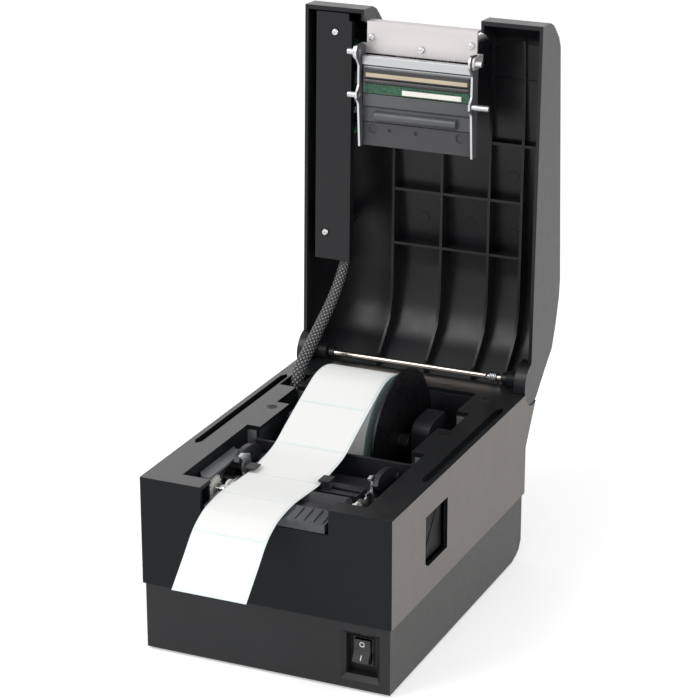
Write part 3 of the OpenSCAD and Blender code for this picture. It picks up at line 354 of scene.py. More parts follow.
# Partly painted light: the liner's real teal on the roll's ends is brightened to stand in for light that the
# flange keeps off.
ROLL_SIDE_TEAL_PAINTED_LIGHT = Finish("roll_layers", (0.72, 0.95, 0.93), "label_paper", Grain.RINGS, roughness=0.7, tint=0.06,
                   bump=0.3, pitch_mm=0.5, centre=ROLL_CENTRE)
CARD = Finish("core_card_layers", (0.4, 0.29, 0.18), "core_card", Grain.RINGS, roughness=0.85, tint=0.12,
              bump=0.3, pitch_mm=0.4, centre=ROLL_CENTRE)
BRAID = Finish("braided_sleeve", (0.13, 0.13, 0.133), "cable_black", Grain.BRAID, roughness=0.45,
               tint=0.96, bump=0.9, pitch_mm=1.2)

NODE_FINISH: dict[str, Finish] = {
    "lower_tray": TRAY, "upper_casing": CASING, "roll_bay": BAY, "rubber_feet": RUBBER,
    "base_screws": DARK_SCREW, "main_board": BOARD, "board_parts": CHIP,
    "dc_jack": CHIP, "usb_port": STEEL, "power_switch": SWITCH, "power_rocker": SWITCH,
    "mechanism_frame": SHEET, "frame_arms": BAY, "front_lip": LIP, "front_guide": BAY,
    "platen_roller": PLATEN, "platen_shaft": STEEL, "platen_gear": NYLON, "platen_bearings": NYLON,
    "idler_axle": STEEL, "idler_gear": NYLON, "stepper_motor": MOTOR, "motor_shaft": STEEL,
    "motor_pinion": BRASS, "gear_cover": COVER, "guide_rail": BAY, "guide_left": BAY,
    "guide_right": BAY, "gap_sensor": CHIP, "latch_shaft": STEEL, "latch_hooks": SHEET,
    "release_levers": LEVER, "roll_holder_left": BAY, "roll_carriage_right": BAY,
    "roll_flange_right": FLANGE, "label_core": CARD, "label_roll": ROLL_SIDE_TEAL_PAINTED_LIGHT, "label_web": LINER,
    "hinge_rod": ROD, "hinge_collars": COLLAR, "torsion_spring": SPRING, "cable_sleeve": BRAID,
    "lid_shell": LID, "board_cover": LID, "lid_screws": SCREW, "control_board": BOARD,
    "feed_button": BUTTON, "pause_button": BUTTON, "light_pipes": PIPE, "head_mount": MOUNT,
    "head_springs": SPRING, "head_bracket": HEAD, "head_pins": STEEL,
    "heat_sink": ALLOY, "print_head": GRAPHITE, "head_bar": ALLOY, "head_board": FINE_BOARD,
    "head_connector": IVORY, "head_guard": GUARD, "head_cover": HEAD,
}


@dataclass(frozen=True)
class Accent:
    """A second finish for those faces of a node that look one way beyond a plane."""

    finish: Finish
    facing: Triple
    axis: int
    reach: float
    limit: float = 0.95
    mirrored: bool = False

    def covers(self, face: bpy.types.MeshPolygon) -> bool:
        """Tells whether a face takes this finish.

        Args:
            face: The face.

        Returns:
            True for a face of the accent.
        """
        turned_to = face.normal.dot(Vector(self.facing))
        if self.mirrored:
            turned_to = abs(turned_to)
        return turned_to > self.limit and abs(face.center[self.axis]) > self.reach


SIDEWAYS, UPWARD, FORWARD = (1.0, 0.0, 0.0), (0.0, 0.0, 1.0), (0.0, -1.0, 0.0)
# The flank accents paint a reflection onto the side faces by colouring them lighter than the rest of the
# plastic.
ACCENTS: dict[str, tuple[Accent, ...]] = {
    "upper_casing": (Accent(FLANK_PAINTED_REFLECTION, SIDEWAYS, 0, 0.0715, mirrored=True), Accent(DECK, UPWARD, 2, 0.0995)),
    "lower_tray": (Accent(TRAY_FLANK_PAINTED_REFLECTION, SIDEWAYS, 0, 0.0705, mirrored=True),),
    "lid_shell": (Accent(LID_FLANK_PAINTED_REFLECTION, SIDEWAYS, 0, 0.0713, mirrored=True),),
    "head_bracket": (Accent(SHEET, FORWARD, 0, 0.0335, limit=0.6),),
}

SOFT_EDGES: dict[str, float] = {
    "lower_tray": 0.5, "upper_casing": 0.5, "roll_bay": 0.3, "lid_shell": 0.45, "board_cover": 0.35,
    "front_lip": 0.3, "gear_cover": 0.35, "release_levers": 0.4, "guide_rail": 0.3,
    "guide_left": 0.25, "guide_right": 0.25, "frame_arms": 0.3, "front_guide": 0.25,
    "roll_holder_left": 0.4, "roll_carriage_right": 0.6, "power_switch": 0.25,
    "power_rocker": 0.5, "head_mount": 0.2, "head_bracket": 0.25, "heat_sink": 0.2,
    "head_bar": 0.3, "head_guard": 0.3, "head_cover": 0.25, "mechanism_frame": 0.12,
    "latch_hooks": 0.15, "feed_button": 0.5, "pause_button": 0.5, "gap_sensor": 0.25,
    "stepper_motor": 0.3, "rubber_feet": 0.3, "roll_flange_right": 0.3, "platen_roller": 0.4,
    "print_head": 0.12, "head_connector": 0.15, "platen_bearings": 0.15, "usb_port": 0.15,
    "hinge_collars": 0.2,
}


def linked(name: str, data: bpy.types.ID) -> Object:
    """Adds an object with some data to the scene.

    Args:
        name: The object's name.
        data: Its mesh, curve, camera or lamp.

    Returns:
        The new object.
    """
    obj = bpy.data.objects.new(name, data)
    bpy.context.scene.collection.objects.link(obj)
    return obj


def through(points: list[Vector], steps: int) -> list[Vector]:
    """Returns the points of a smooth curve through some points.

    Args:
        points: The points that the curve meets, in order.
        steps: The number of pieces between two of them.
    """
    fine: list[Vector] = []
    for i in range(len(points) - 1):
        a, b = points[max(0, i - 1)], points[i]
        c, d = points[i + 1], points[min(len(points) - 1, i + 2)]
        for k in range(steps):
            t = k / steps
            fine.append(0.5 * (2 * b + (c - a) * t + (2 * a - 5 * b + 4 * c - d) * t * t
                               + (3 * b - a - 3 * c + d) * t ** 3))
    fine.append(points[-1])
    return fine


def mesh_of(work: bmesh.types.BMesh, name: str) -> Mesh:
    """Returns a new mesh of an edited shape, and frees the shape.

    Args:
        work: The shape.
        name: The mesh name.
    """
    mesh = bpy.data.meshes.new(name)
    work.to_mesh(mesh)
    work.free()
    return mesh


def face_outward(mesh: Mesh, crease: float) -> None:
    """Turns the faces of a closed mesh outward and shades it smooth up to a crease.

    Args:
        mesh: The mesh.
        crease: The angle in degrees from which an edge stays sharp.
    """
    work = bmesh.new()
    work.from_mesh(mesh)
    bmesh.ops.recalc_face_normals(work, faces=work.faces)
    work.to_mesh(mesh)
    work.free()
    mesh.shade_smooth()
    mesh.set_sharp_from_angle(angle=math.radians(crease))


def face_front(face: bmesh.types.BMFace) -> None:
    """Turns a face to the front.

    Args:
        face: The face.
    """
    face.normal_update()
    if face.normal.y > 0:
        face.normal_flip()


def new_piece(name: str, mesh: Mesh, finish: Finish, body: str) -> Object:
    """Adds one finished piece to the scene.

    Args:
        name: The piece's name.
        mesh: Its mesh, in place.
        finish: Its finish.
        body: The body it rides on.

    Returns:
        The new object.
    """
    obj = linked(name, mesh)
    if not mesh.materials:
        mesh.materials.append(finish.material())
    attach(obj, body)
    LOG.info("%s on %s: %d faces", name, body, len(mesh.polygons))
    return obj


def baked(obj: Object) -> Mesh:
    """Returns the mesh of an object with its modifiers applied, and removes the object.

    Args:
        obj: The object to bake.
    """
    graph = bpy.context.evaluated_depsgraph_get()
    mesh = bpy.data.meshes.new_from_object(obj.evaluated_get(graph))
    bpy.data.objects.remove(obj)
    return mesh


@dataclass
class MouldedEdges:
    """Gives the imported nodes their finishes, and the visible ones rounded edges."""

    angle: float = math.radians(32)
    smooth: float = math.radians(38)
    same_point: float = 2e-6
    flat: float = math.radians(0.4)

    def build(self) -> None:
        """Finishes every node."""
        for node, finish in NODE_FINISH.items():
            source = frame["nodes"][node]
            source.data.materials.clear()
            source.data.materials.append(finish.material())
            if node in SOFT_EDGES:
                self._soften(node, finish, SOFT_EDGES[node])

    def _soften(self, node: str, finish: Finish, width: float) -> None:
        """Replaces one node by a copy with rounded edges.

        Args:
            node: The node's name.
            finish: Its finish.
            width: The edge width in millimetres.
        """
        body = str(frame["nodes"][node]["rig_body"])
        mesh = frame["nodes"][node].data.copy()
        work = bmesh.new()
        work.from_mesh(mesh)
        bmesh.ops.remove_doubles(work, verts=work.verts, dist=self.same_point)
        bmesh.ops.dissolve_limit(work, angle_limit=self.flat, verts=work.verts, edges=work.edges)
        work.to_mesh(mesh)
        work.free()
        draft = linked(node + "_draft", mesh)
        edge = draft.modifiers.new("edge", "BEVEL")
        edge.width = width * MM
        edge.segments = 2
        edge.limit_method = "ANGLE"
        edge.angle_limit = self.angle
        edge.use_clamp_overlap = True
        edge.miter_outer = "MITER_ARC"
        rounded = baked(draft)
        rounded.shade_smooth()
        rounded.set_sharp_from_angle(angle=self.smooth)
        draft = linked(node + "_shaded", rounded)
        even = draft.modifiers.new("even", "WEIGHTED_NORMAL")
        even.keep_sharp = True
        done = baked(draft)
        # The accent finishes, among them the painted reflection on the flanks.
        for slot, accent in enumerate(ACCENTS.get(node, ()), start=1):
            done.materials.append(accent.finish.material())
            for face in done.polygons:
                if accent.covers(face):
                    face.material_index = slot
        piece = new_piece(node + "_moulded", done, finish, body)
        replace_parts(piece, node)


@dataclass
class PaperWeb:
    """The liner that runs from the roll over the platen and hangs out at the front, with its labels."""

    left: float = -31.8
    right: float = 10.8
    label_left: float = -31.0
    label_right: float = 9.3
    pitch: float = 33.9
    gap: float = 1.7
    first: float = 1.35
    label_thick: float = 0.16
    liner_thick: float = 0.1
    corner: float = 1.2
    shortest: float = 6.0
    path: list[Pair] = field(default_factory=lambda: [
        (-43.5, 62.0), (-30.0, 74.8), (-19.0, 85.4), (-9.0, 90.8), (-1.0, 92.9), (14.4, 94.3),
        (35.0, 93.15), (47.2, 92.65), (60.0, 93.65), (78.4, 96.5), (94.4, 103.4), (110.4, 110.4),
        (126.9, 117.2), (130.7, 118.6), (134.6, 119.6), (138.5, 120.1), (142.5, 120.3), (146.5, 120.0),
        (150.5, 119.35), (154.3, 118.3), (158.1, 116.8), (161.6, 114.9)])

    def _smooth(self, count: int = 260) -> list[Pair]:
        """Returns evenly spaced points along a smooth curve through the path.

        Args:
            count: The number of points.
        """
        fine = through([Vector(p) for p in self.path], 24)
        run = [0.0]
        for p, q in zip(fine, fine[1:]):
            run.append(run[-1] + (q - p).length)
        total, out, j = run[-1], [], 0
        for i in range(count):
            want = total * i / (count - 1)
            while j < len(run) - 2 and run[j + 1] < want:
                j += 1
            t = (want - run[j]) / max(1e-9, run[j + 1] - run[j])
            p = fine[j].lerp(fine[j + 1], min(1.0, max(0.0, t)))
            out.append((p.x, p.y))
        return out

    def _strip(self, name: str, x0: float, x1: float, rows: list[Pair], lift: float,
               thick: float, corner: float = 0.0) -> Mesh:
        """Builds one closed strip of paper along some rows of the path.

        Args:
            name: The mesh name.
            x0: Its left edge.
            x1: Its right edge.
            rows: The path points that it covers.
            lift: Its height above the path.
            thick: Its thickness.
            corner: The radius of its rounded corners.

        Returns:
            The mesh.
        """
        count, across = len(rows), 6
        run = [0.0]
        for p, q in zip(rows, rows[1:]):
            run.append(run[-1] + math.dist(p, q))
        top: list[Vector] = []
        under: list[Vector] = []
        for i, (c, z) in enumerate(rows):
            p, q = rows[max(0, i - 1)], rows[min(count - 1, i + 1)]
            length = math.dist(p, q) or 1.0
            nc, nz = -(q[1] - p[1]) / length, (q[0] - p[0]) / length
            near = min(run[i], run[-1] - run[i])
            cut = 0.0
            if corner and near < corner:
                cut = corner - math.sqrt(max(0.0, corner ** 2 - (corner - near) ** 2))
            for k in range(across + 1):
                x = x0 + cut + (x1 - x0 - 2 * cut) * k / across
                top.append(at(x, c + nc * (lift + thick), z + nz * (lift + thick)))
                under.append(at(x, c + nc * lift, z + nz * lift))
        wide = across + 1
        faces: list[tuple[int, ...]] = []
        base = len(top)
        for i in range(count - 1):
            for k in range(across):
                a = i * wide + k
                faces.append((a, a + 1, a + wide + 1, a + wide))
                faces.append((base + a, base + a + wide, base + a + wide + 1, base + a + 1))
            a, b = i * wide, i * wide + across
            faces.append((a, a + wide, base + a + wide, base + a))
            faces.append((b, base + b, base + b + wide, b + wide))
        for k in range(across):
            a, b = k, (count - 1) * wide + k
            faces.append((a, base + a, base + a + 1, a + 1))
            faces.append((b, b + 1, base + b + 1, base + b))
        mesh = bpy.data.meshes.new(name)
        mesh.from_pydata([tuple(v) for v in top + under], [], faces)
        mesh.validate()
        face_outward(mesh, 40)
        return mesh

    def build(self) -> None:
        """Builds the liner and one sticker for each pitch."""
        rows = self._smooth()
        liner = new_piece("liner_strip", self._strip("liner", self.left, self.right, rows,
                                                   -self.liner_thick, self.liner_thick), LINER, "base")
        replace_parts(liner, "label_web")
        step = sum(math.dist(p, q) for p, q in zip(rows, rows[1:])) / (len(rows) - 1)
        start, number = self.first, 0
        total = step * (len(rows) - 1)
        while start < total - self.shortest:
            end = min(total, start + self.pitch - self.gap)
            part = rows[max(0, round(start / step)): round(end / step) + 1]
            whole = end < total
            mesh = self._strip(f"label_{number}", self.label_left, self.label_right, part, 0.0,
                               self.label_thick, self.corner if whole else 0.0)
            new_piece(f"label_{number}", mesh, LABEL, "base")
            start, number = start + self.pitch, number + 1


@dataclass
class BraidedSleeve:
    """The sleeve round the wires that run from the base up into the lid."""

    top_radius: float = 2.8
    foot_radius: float = 4.2
    sides: int = 24
    strands: float = 6.0
    wobble: float = 0.012
    wobble_step: float = 1.9
    points: list[Triple] = field(default_factory=lambda: [
        (-49.2, 215.5, 172.0), (-49.2, 214.5, 167.0), (-49.3, 212.5, 158.3), (-50.8, 208.5, 148.3),
        (-52.8, 201.5, 137.3), (-55.6, 191.5, 125.3), (-57.7, 180.5, 114.3), (-58.6, 172.0, 106.8),
        (-58.8, 167.5, 98.3), (-58.5, 166.0, 88.3), (-58.5, 165.5, 77.3)])

    def build(self) -> None:
        """Builds the tube, its braid map and its bend between base and lid."""
        pts = [at(*p) for p in self.points]
        fine = through(pts, 10)
        verts: list[Triple] = []
        faces: list[tuple[int, ...]] = []
        run = 0.0
        lengths: list[float] = []
        for i, p in enumerate(fine):
            q, r = fine[max(0, i - 1)], fine[min(len(fine) - 1, i + 1)]
            run += (p - q).length
            lengths.append(run)
            tangent = (r - q).normalized()
            side = (Vector((1, 0, 0)) - tangent * tangent.x).normalized()
            up = tangent.cross(side)
            share = i / (len(fine) - 1)
            radius = self.top_radius + (self.foot_radius - self.top_radius) * share
            for k in range(self.sides):
                turn = 2 * math.pi * k / self.sides
                spread = radius * MM * (1 + self.wobble * math.sin(i * self.wobble_step))
                verts.append(tuple(p + (side * math.cos(turn) + up * math.sin(turn)) * spread))
        n = self.sides
        for i in range(len(fine) - 1):
            for k in range(n):
                a, b = i * n + k, i * n + (k + 1) % n
                faces.append((a, b, b + n, a + n))
        faces.append(tuple(range(n - 1, -1, -1)))
        faces.append(tuple((len(fine) - 1) * n + k for k in range(n)))
        mesh = bpy.data.meshes.new("sleeve")
        mesh.from_pydata(verts, [], faces)
        layer = mesh.uv_layers.new(name="braid")
        around = math.pi * (self.top_radius + self.foot_radius) * MM
        for face in mesh.polygons:
            wrap = any(mesh.loops[l].vertex_index % n == 0 for l in face.loop_indices) and any(
                mesh.loops[l].vertex_index % n == n - 1 for l in face.loop_indices)
            for l in face.loop_indices:
                v = mesh.loops[l].vertex_index
                turn = (v % n) / n
                if wrap and turn < 0.25:
                    turn += 1.0
                layer.data[l].uv = (turn * self.strands, lengths[v // n] / around * self.strands)
        face_outward(mesh, 60)
        mesh.materials.append(BRAID.material())
        obj = linked("sleeve_braided", mesh)
        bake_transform(obj)
        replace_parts(obj, "cable_sleeve")
        LOG.info("sleeve_braided: %.0f mm long", run / MM)


@dataclass
class SwitchMarks:
    """The white ring and bar on the halves of the power rocker."""

    x: float = 53.0
    axis_depth: float = 10.0
    axis_height: float = 20.6
    half_height: float = 6.2
    face_depth: float = -3.0
    face_slope: float = -2.0
    lift: float = 0.06
    ring_inner: float = 1.0
    ring_outer: float = 1.5
    ring_height: float = 3.5
    ring_steps: int = 28
    bar_half: float = 0.28
    bar_low: float = -5.0
    bar_high: float = -2.4
    tilt: float = math.radians(-12)

    def _place(self, x: float, y: float, z: float) -> Vector:
        """Turns a point of the level rocker into its place on the tilted one.

        Args:
            x: Distance from the rocker's middle.
            y: Distance in front of the axis, negative to the front.
            z: Height above the axis.

        Returns:
            The point in metres.
        """
        cos, sin = math.cos(self.tilt), math.sin(self.tilt)
        return at(self.x + x, self.axis_depth + y * cos - z * sin, self.axis_height + y * sin + z * cos)

    def _face(self, z: float) -> float:
        """Returns the depth of the rocker's face against its axis.

        Args:
            z: Height above the axis.
        """
        return self.face_depth + self.face_slope * abs(z) / self.half_height

    def build(self) -> None:
        """Builds both marks as thin raised shapes."""
        work = bmesh.new()
        steps = self.ring_steps
        rings: list[list[bmesh.types.BMVert]] = []
        for r in (self.ring_inner, self.ring_outer):
            ring = []
            for k in range(steps):
                a = 2 * math.pi * k / steps
                z = self.ring_height + r * math.sin(a)
                ring.append(work.verts.new(self._place(r * math.cos(a), self._face(z) - self.lift, z)))
            rings.append(ring)
        for k in range(steps):
            j = (k + 1) % steps
            work.faces.new((rings[0][k], rings[0][j], rings[1][j], rings[1][k]))
        side, low, high = self.bar_half, self.bar_low, self.bar_high
        work.faces.new([work.verts.new(self._place(x, self._face(z) - self.lift, z))
                        for x, z in ((-side, low), (side, low), (side, high), (-side, high))])
        for face in work.faces:
            face_front(face)
        mesh = mesh_of(work, "marks")
        new_piece("rocker_marks", mesh, MARK, "rocker")


@dataclass
class TorsionSpring:
    """The wound spring round the right end of the hinge rod."""

    start: float = 45.6
    turns: float = 4.2
    pitch: float = 1.08
    radius: float = 2.5
    wire: float = 0.5
    steps: int = 24
    near_leg: float = 11.0
    far_leg: Triple = (0.0, -0.0008, -0.0062)

    def build(self) -> None:
        """Builds the coil and both legs as one swept wire."""
        line: list[Vector] = [at(self.start, HINGE_DEPTH - self.near_leg, HINGE_HEIGHT + self.radius)]
        for i in range(int(self.turns * self.steps) + 1):
            turn = 2 * math.pi * i / self.steps
            line.append(at(self.start + self.pitch * i / self.steps,
                           HINGE_DEPTH + self.radius * math.sin(turn),
                           HINGE_HEIGHT + self.radius * math.cos(turn)))
        line.append(line[-1] + Vector(self.far_leg))
        curve = bpy.data.curves.new("spring", "CURVE")
        curve.dimensions = "3D"
        curve.bevel_depth = self.wire * MM
        curve.bevel_resolution = 3
        curve.use_fill_caps = True
        spline = curve.splines.new("POLY")
        spline.points.add(len(line) - 1)
        for point, co in zip(spline.points, line):
            point.co = (*co, 1.0)
        mesh = baked(linked("spring_draft", curve))
        mesh.materials.clear()
        mesh.shade_smooth()
        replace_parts(new_piece("spring_coil", mesh, SPRING, "base"), "torsion_spring")


@dataclass
class RollPaper:
    """The wound paper of the roll: white outside, with the teal edges of the liner on its ends, brightened as
    painted light where the flange shades them.
    """

    left: float = -31.5
    right: float = 10.6
    inner: float = 14.72
    outer: float = 38.0
    edge: float = 0.25
    steps: int = 144

    def build(self) -> None:
        """Builds the roll as a turned shape with two materials."""
        left, right, rim = self.left, self.right, self.outer
        profile = [(left, self.inner), (left, rim - self.edge), (left + self.edge, rim),
                   (right - self.edge, rim), (right, rim - self.edge), (right, self.inner)]
        verts: list[Triple] = []
        for x, radius in profile:
            for k in range(self.steps):
                turn = 2 * math.pi * k / self.steps
                verts.append(tuple(at(x, ROLL_DEPTH + radius * math.cos(turn),
                                      ROLL_HEIGHT + radius * math.sin(turn))))
        faces: list[tuple[int, ...]] = []
        sides: list[int] = []
        for i in range(len(profile)):
            j = (i + 1) % len(profile)
            for k in range(self.steps):
                m = (k + 1) % self.steps
                faces.append((i * self.steps + k, i * self.steps + m,
                              j * self.steps + m, j * self.steps + k))
                sides.append(0 if i == 2 else 1)
        mesh = bpy.data.meshes.new("roll_paper")
        mesh.from_pydata(verts, [], faces)
        # Slot 1 holds the teal ends, brightened as painted light.
        for finish in (LABEL, ROLL_SIDE_TEAL_PAINTED_LIGHT):
            mesh.materials.append(finish.material())
        mesh.polygons.foreach_set("material_index", sides)
        face_outward(mesh, 40)
        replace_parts(new_piece("roll_wound", mesh, LABEL, "roll"), "label_roll")


@dataclass
class Scatter:
    """Copies one small shape onto points with a node group, and bakes the result to one mesh."""

    name: str
    points: list[Vector]
    shape: Mesh
    finish: Finish
    body: str
    turn: Triple = (0.0, 0.0, 0.0)
    smallest: Triple = (1.0, 1.0, 1.0)
    largest: Triple = (1.0, 1.0, 1.0)
    seed: int = 7

    def _group(self) -> Tree:
        """Returns the node group that places, scales, joins and finishes the copies."""
        tree = bpy.data.node_groups.new(self.name + "_copies", "GeometryNodeTree")
        for name, kind in (("Geometry", "Geometry"), ("Shape", "Object"), ("Turn", "Vector"),
                           ("Smallest", "Vector"), ("Largest", "Vector"), ("Seed", "Int"),
                           ("Finish", "Material")):
            tree.interface.new_socket(name, in_out="INPUT", socket_type="NodeSocket" + kind)
        tree.interface.new_socket("Geometry", in_out="OUTPUT", socket_type="NodeSocketGeometry")
        given = tree.nodes.new("NodeGroupInput")
        info = add_node(tree, "GeometryNodeObjectInfo", {"Object": given.outputs["Shape"]},
                        transform_space="ORIGINAL")
        size = add_node(tree, "FunctionNodeRandomValue", {
            "Min": given.outputs["Smallest"], "Max": given.outputs["Largest"],
            "Seed": given.outputs["Seed"]}, data_type="FLOAT_VECTOR")
        place = add_node(tree, "GeometryNodeInstanceOnPoints", {
            "Points": given.outputs["Geometry"], "Instance": info.outputs["Geometry"],
            "Rotation": given.outputs["Turn"], "Scale": size.outputs["Value"]})
        real = add_node(tree, "GeometryNodeRealizeInstances", {"Geometry": place.outputs["Instances"]})
        paint = add_node(tree, "GeometryNodeSetMaterial", {
            "Geometry": real.outputs["Geometry"], "Material": given.outputs["Finish"]})
        add_node(tree, "NodeGroupOutput", {"Geometry": paint.outputs["Geometry"]})
        return tree

    def build(self) -> None:
        """Builds the copies as one piece."""
        cloud = bpy.data.meshes.new(self.name + "_points")
        cloud.from_pydata([tuple(p) for p in self.points], [], [])
        holder = linked(self.name + "_holder", cloud)
        shape = linked(self.name + "_shape", self.shape)
        group = self._group()
        nodes = holder.modifiers.new("copies", "NODES")
        nodes.node_group = group
        values = {"Shape": shape, "Turn": self.turn, "Smallest": self.smallest, "Largest": self.largest,
                  "Seed": self.seed, "Finish": self.finish.material()}
        for item in group.interface.items_tree:
            if item.in_out == "INPUT" and item.name in values:
                nodes[item.identifier] = values[item.name]
        mesh = baked(holder)
        bpy.data.objects.remove(shape)
        mesh.shade_flat()
        new_piece(self.name, mesh, self.finish, self.body)


def turned(name: str, rings: list[Pair], steps: int = 28) -> Mesh:
    """Builds a closed shape turned about z.

    Args:
        name: The mesh name.
        rings: Radius and height of each ring in millimetres, from the bottom up.
        steps: The number of sides.

    Returns:
        The mesh.
    """
    work = bmesh.new()
    rows = [[work.verts.new((r * MM * math.cos(2 * math.pi * k / steps),
                             r * MM * math.sin(2 * math.pi * k / steps), h * MM)) for k in range(steps)]
            for r, h in rings]
    for low, high in zip(rows, rows[1:]):
        for k in range(steps):
            m = (k + 1) % steps
            work.faces.new((low[k], low[m], high[m], high[k]))
    work.faces.new(rows[0][::-1])
    work.faces.new(rows[-1])
    return mesh_of(work, name)


def cuboid(name: str, low: Triple, high: Triple) -> Mesh:
    """Builds a box between two corners.

    Args:
        name: The mesh name.
        low: The lowest corner in metres.
        high: The highest corner in metres.

    Returns:
        The mesh.
    """
    work = bmesh.new()
    bmesh.ops.create_cube(work, size=1.0)
    for vert in work.verts:
        vert.co = [low[i] + (vert.co[i] + 0.5) * (high[i] - low[i]) for i in range(3)]
    return mesh_of(work, name)


def cross_head(size: float = 1.0) -> Mesh:
    """Builds a domed screw head with a cross recess, whose underside is at z = 0.

    Args:
        size: Its width against the largest head.

    Returns:
        The mesh.
    """
    rings = [(2.85 * size, 0.0), (2.85 * size, 0.3), (2.5 * size, 0.62), (1.6 * size, 0.8)]
    head = linked("head", turned("head", rings))
    long, short, floor, top = 1.7 * size, 0.32 * size, 0.15 * MM, 2 * MM
    cutters = []
    for x, y in ((long, short), (short, long)):
        cutter = linked("slot", cuboid("slot", (-x * MM, -y * MM, floor), (x * MM, y * MM, top)))
        cut = head.modifiers.new("cut", "BOOLEAN")
        cut.operation = "DIFFERENCE"
        cut.object = cutter
        cutters.append(cutter)
    mesh = baked(head)
    for cutter in cutters:
        bpy.data.objects.remove(cutter)
    return mesh


@dataclass
class ScrewHeads:
    """The cross-recess heads on the deck, under the tray and inside the lid."""

    deck: tuple[Pair, ...] = ((52.5, 120.0), (52.5, 181.0), (-52.5, 120.0), (-52.5, 181.0))
    tray: tuple[Pair, ...] = ((64.8, 38.0), (64.8, 178.0), (-64.8, 38.0), (-64.8, 178.0))
    cover: tuple[Pair, ...] = ((-53.3, 14.0), (-58.6, 133.0))
    mount: tuple[Pair, ...] = ((-30.6, 14.6), (0.1, 19.3), (30.1, 14.1))
    deck_height: float = 100.25
    tray_height: float = 5.6
    cover_height: float = 101.38
    mount_height: float = 100.28
    lid_size: float = 0.66

    def build(self) -> None:
        """Builds one set for each place and body."""
        lid_turn = (math.pi - OPEN_ANGLE, 0.0, 0.0)
        deck = [at(x, c, self.deck_height) for x, c in self.deck]
        Scatter("deck_screw_heads", deck, cross_head(), DARK_SCREW, "base").build()
        tray = [at(x, c, self.tray_height) for x, c in self.tray]
        Scatter("tray_screw_heads", tray, cross_head(), SCREW, "base", turn=(math.pi, 0.0, 0.0)).build()
        lid = [lid_at(x, c, self.cover_height) for x, c in self.cover]
        lid += [lid_at(x, c, self.mount_height) for x, c in self.mount]
        Scatter("lid_screw_heads", lid, cross_head(self.lid_size), SCREW, "lid", turn=lid_turn).build()


@dataclass
class EjectorMarks:
    """The round marks that the mould's pins leave on the inside of the lid."""

    slope: float = 0.1018
    roof_depth: float = 17.16
    roof_height: float = 129.42
    sunk: float = 0.12
    spots: tuple[Pair, ...] = (
        (17.0, 70.0), (17.0, 128.0), (44.0, 52.0), (44.0, 96.0), (44.0, 132.0), (-12.0, 128.0), (60.0, 118.0))

    def build(self) -> None:
        """Builds the rings."""
        lean = math.atan(self.slope)
        places = [lid_at(x, c, self.roof_height + (c - self.roof_depth) * self.slope - self.sunk)
                  for x, c in self.spots]
        ring = turned("ring", [(3.6, 0.0), (3.5, 0.14), (2.9, 0.14), (2.85, 0.02)], 32)
        Scatter("lid_ejector_marks", places, ring, LID, "lid",
                turn=(math.pi - OPEN_ANGLE + lean, 0.0, 0.0), smallest=(0.85, 0.85, 1.0)).build()


@dataclass
class BoardChips:
    """The small parts on the two circuit boards, in loose rows."""

    seed: int = 11
    main_height: float = 9.61
    control_height: float = 120.62

    def build(self) -> None:
        """Builds the chips of both boards."""
        chip = cuboid("chip", (-0.0011, -0.0008, 0.0), (0.0011, 0.0008, 0.0009))
        rows = [(x, c) for x in range(-54, 32, 6) for c in range(94, 186, 7)
                if (x * 7 + c * 3) % 5 and not (-22 < x < 20 and 122 < c < 150) and not 98 < c < 108]
        base = [at(x, c, self.main_height) for x, c in rows]
        Scatter("main_board_chips", base, chip, CHIP, "base", smallest=(0.6, 0.7, 0.6),
                largest=(1.5, 1.5, 1.3), seed=self.seed).build()
        small = [(x, c) for x in (-61, -57) for c in range(54, 72, 4)]
        lid = [lid_at(x, c, self.control_height) for x, c in small]
        Scatter("control_board_chips", lid, chip.copy(), CHIP, "lid", turn=(-OPEN_ANGLE, 0.0, 0.0),
                smallest=(0.6, 0.7, 0.6), largest=(1.2, 1.2, 1.1), seed=self.seed + 1).build()


@dataclass
class BayEnds:
    """Lighter grey skins on the end faces inside the deck openings: painted light for the light that these
    faces catch.
    """

    faces: tuple[tuple[float, float, float, float, float], ...] = (
        (45.6, 53.2, 155.94, 81.2, 98.2), (47.6, 53.2, 89.94, 87.2, 98.4))

    def build(self) -> None:
        """Builds a thin skin of painted light on each end face."""
        work = bmesh.new()
        for x0, x1, depth, z0, z1 in self.faces:
            for s in (-1, 1):
                corners = ((x0, z0), (x1, z0), (x1, z1), (x0, z1))
                face_front(work.faces.new([work.verts.new(at(s * x, depth, z)) for x, z in corners]))
        mesh = mesh_of(work, "ends")
        new_piece("bay_end_skins", mesh, PAINTED_LIGHT, "base")


@dataclass
class HeaterStrip:
    """The thin glazed line of heating dots on the face of the print head."""

    half: float = 30.8
    near: float = 33.7
    far: float = 36.0
    height: float = 94.1
    thick: float = 0.06

    def build(self) -> None:
        """Builds the strip as a thin closed shape."""
        work = bmesh.new()
        corners = ((-self.half, self.near), (self.half, self.near),
                   (self.half, self.far), (-self.half, self.far))
        low = [work.verts.new(lid_at(x, c, self.height - self.thick)) for x, c in corners]
        high = [work.verts.new(lid_at(x, c, self.height)) for x, c in corners]
        work.faces.new(low)
        work.faces.new(high[::-1])
        for k in range(4):
            m = (k + 1) % 4
            work.faces.new((low[k], low[m], high[m], high[k]))
        bmesh.ops.recalc_face_normals(work, faces=work.faces)
        new_piece("heater_strip", mesh_of(work, "heater"), STRIP, "print_head_unit")


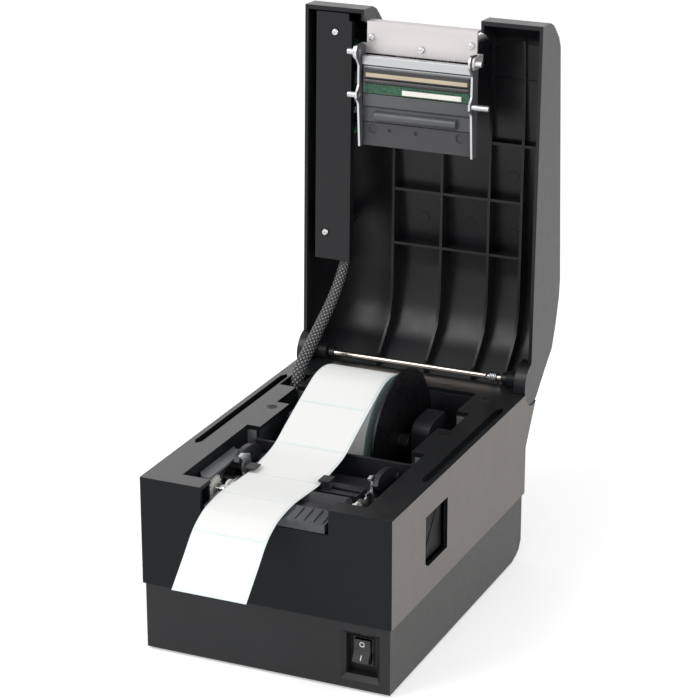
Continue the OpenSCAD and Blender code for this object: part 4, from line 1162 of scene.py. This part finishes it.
@dataclass
class Studio:
    """The floor, the backdrop, the lamps and the camera."""

    azimuth: float = 23.945
    elevation: float = 20.094
    distance: float = 1273.96
    target: Triple = (49.075, 0.0, 190.357)
    focal_px: float = 2557.646
    picture_px: float = 700.0
    sensor_mm: float = 36.0
    sky: float = 0.55
    floor_glow: float = 0.42
    floor_half: float = 6.0
    lamp_goal: Triple = (0.0, 0.0, 0.12)

    def _camera(self) -> None:
        """Adds the camera."""
        data = bpy.data.cameras.new("camera")
        data.sensor_width = self.sensor_mm
        data.lens = self.focal_px / self.picture_px * self.sensor_mm
        cam = linked("camera", data)
        az, el = math.radians(self.azimuth), math.radians(self.elevation)
        away = Vector((math.sin(az) * math.cos(el), -math.cos(az) * math.cos(el), math.sin(el)))
        goal = at(*self.target)
        cam.location = goal + away * self.distance * MM
        cam.rotation_euler = (-away).to_track_quat("-Z", "Y").to_euler()
        bpy.context.scene.camera = cam

    def _world(self) -> None:
        """Sets the soft surrounding light, and a backdrop that is white to the eye and in reflections."""
        world = bpy.data.worlds.new("studio")
        bpy.context.scene.world = world
        world.use_nodes = True
        tree = world.node_tree
        tree.nodes.clear()
        plain, white = (add_node(tree, "ShaderNodeBackground", {0: WHITE, 1: strength}).outputs[0]
                        for strength in (self.sky, 1.0))
        path = tree.nodes.new("ShaderNodeLightPath")
        seen = path.outputs["Is Camera Ray"]
        for ray in ("Is Glossy Ray", "Is Transmission Ray"):
            seen = add_node(tree, "ShaderNodeMath", {0: seen, 1: path.outputs[ray]},
                            operation="MAXIMUM").outputs[0]
        mix = add_node(tree, "ShaderNodeMixShader", {0: seen, 1: plain, 2: white})
        add_node(tree, "ShaderNodeOutputWorld", {0: mix.outputs[0]})

    def _lamp(self, name: str, place: Triple, size: float, power: float) -> None:
        """Adds one square soft lamp that points at the printer.

        Args:
            name: The lamp's name.
            place: Its place in metres.
            size: Its side in metres.
            power: Its power in watts.
        """
        data = bpy.data.lights.new(name, "AREA")
        data.size = size
        data.energy = power
        lamp = linked(name, data)
        lamp.location = place
        lamp.rotation_euler = (Vector(self.lamp_goal) - Vector(place)).to_track_quat("-Z", "Y").to_euler()

    def _floor(self) -> None:
        """Adds the pale floor, which is white to the eye but keeps the shadow."""
        mesh = bpy.data.meshes.new("floor")
        r = self.floor_half
        mesh.from_pydata([(-r, -r, 0), (r, -r, 0), (r, r, 0), (-r, r, 0)], [], [(0, 1, 2, 3)])
        floor = linked("floor", mesh)
        mat = bpy.data.materials.new("pale_floor")
        mat.use_nodes = True
        shader = mat.node_tree.nodes["Principled BSDF"]
        for name, value in (("Base Color", (0.9, 0.9, 0.9, 1)), ("Roughness", 0.9),
                            ("Emission Color", WHITE), ("Emission Strength", self.floor_glow)):
            shader.inputs[name].default_value = value
        mesh.materials.append(mat)

    def build(self) -> None:
        """Builds the whole studio."""
        self._camera()
        self._world()
        self._floor()
        self._lamp("key", (-0.9, -1.0, 1.3), 1.0, 14.0)
        self._lamp("fill", (1.4, -0.5, 0.9), 1.0, 9.0)
        bpy.context.scene.view_settings.view_transform = "Standard"


def main() -> None:
    """Builds everything in order."""
    logging.basicConfig(level=logging.INFO, format="%(name)s: %(message)s")
    for part in (Studio(), MouldedEdges(), PaperWeb(), RollPaper(), BraidedSleeve(), SwitchMarks(),
                 TorsionSpring(), ScrewHeads(), EjectorMarks(), BoardChips(), BayEnds(),
                 HeaterStrip()):
        LOG.info("building %s", type(part).__name__)
        part.build()


if __name__ == "__main__":
    main()
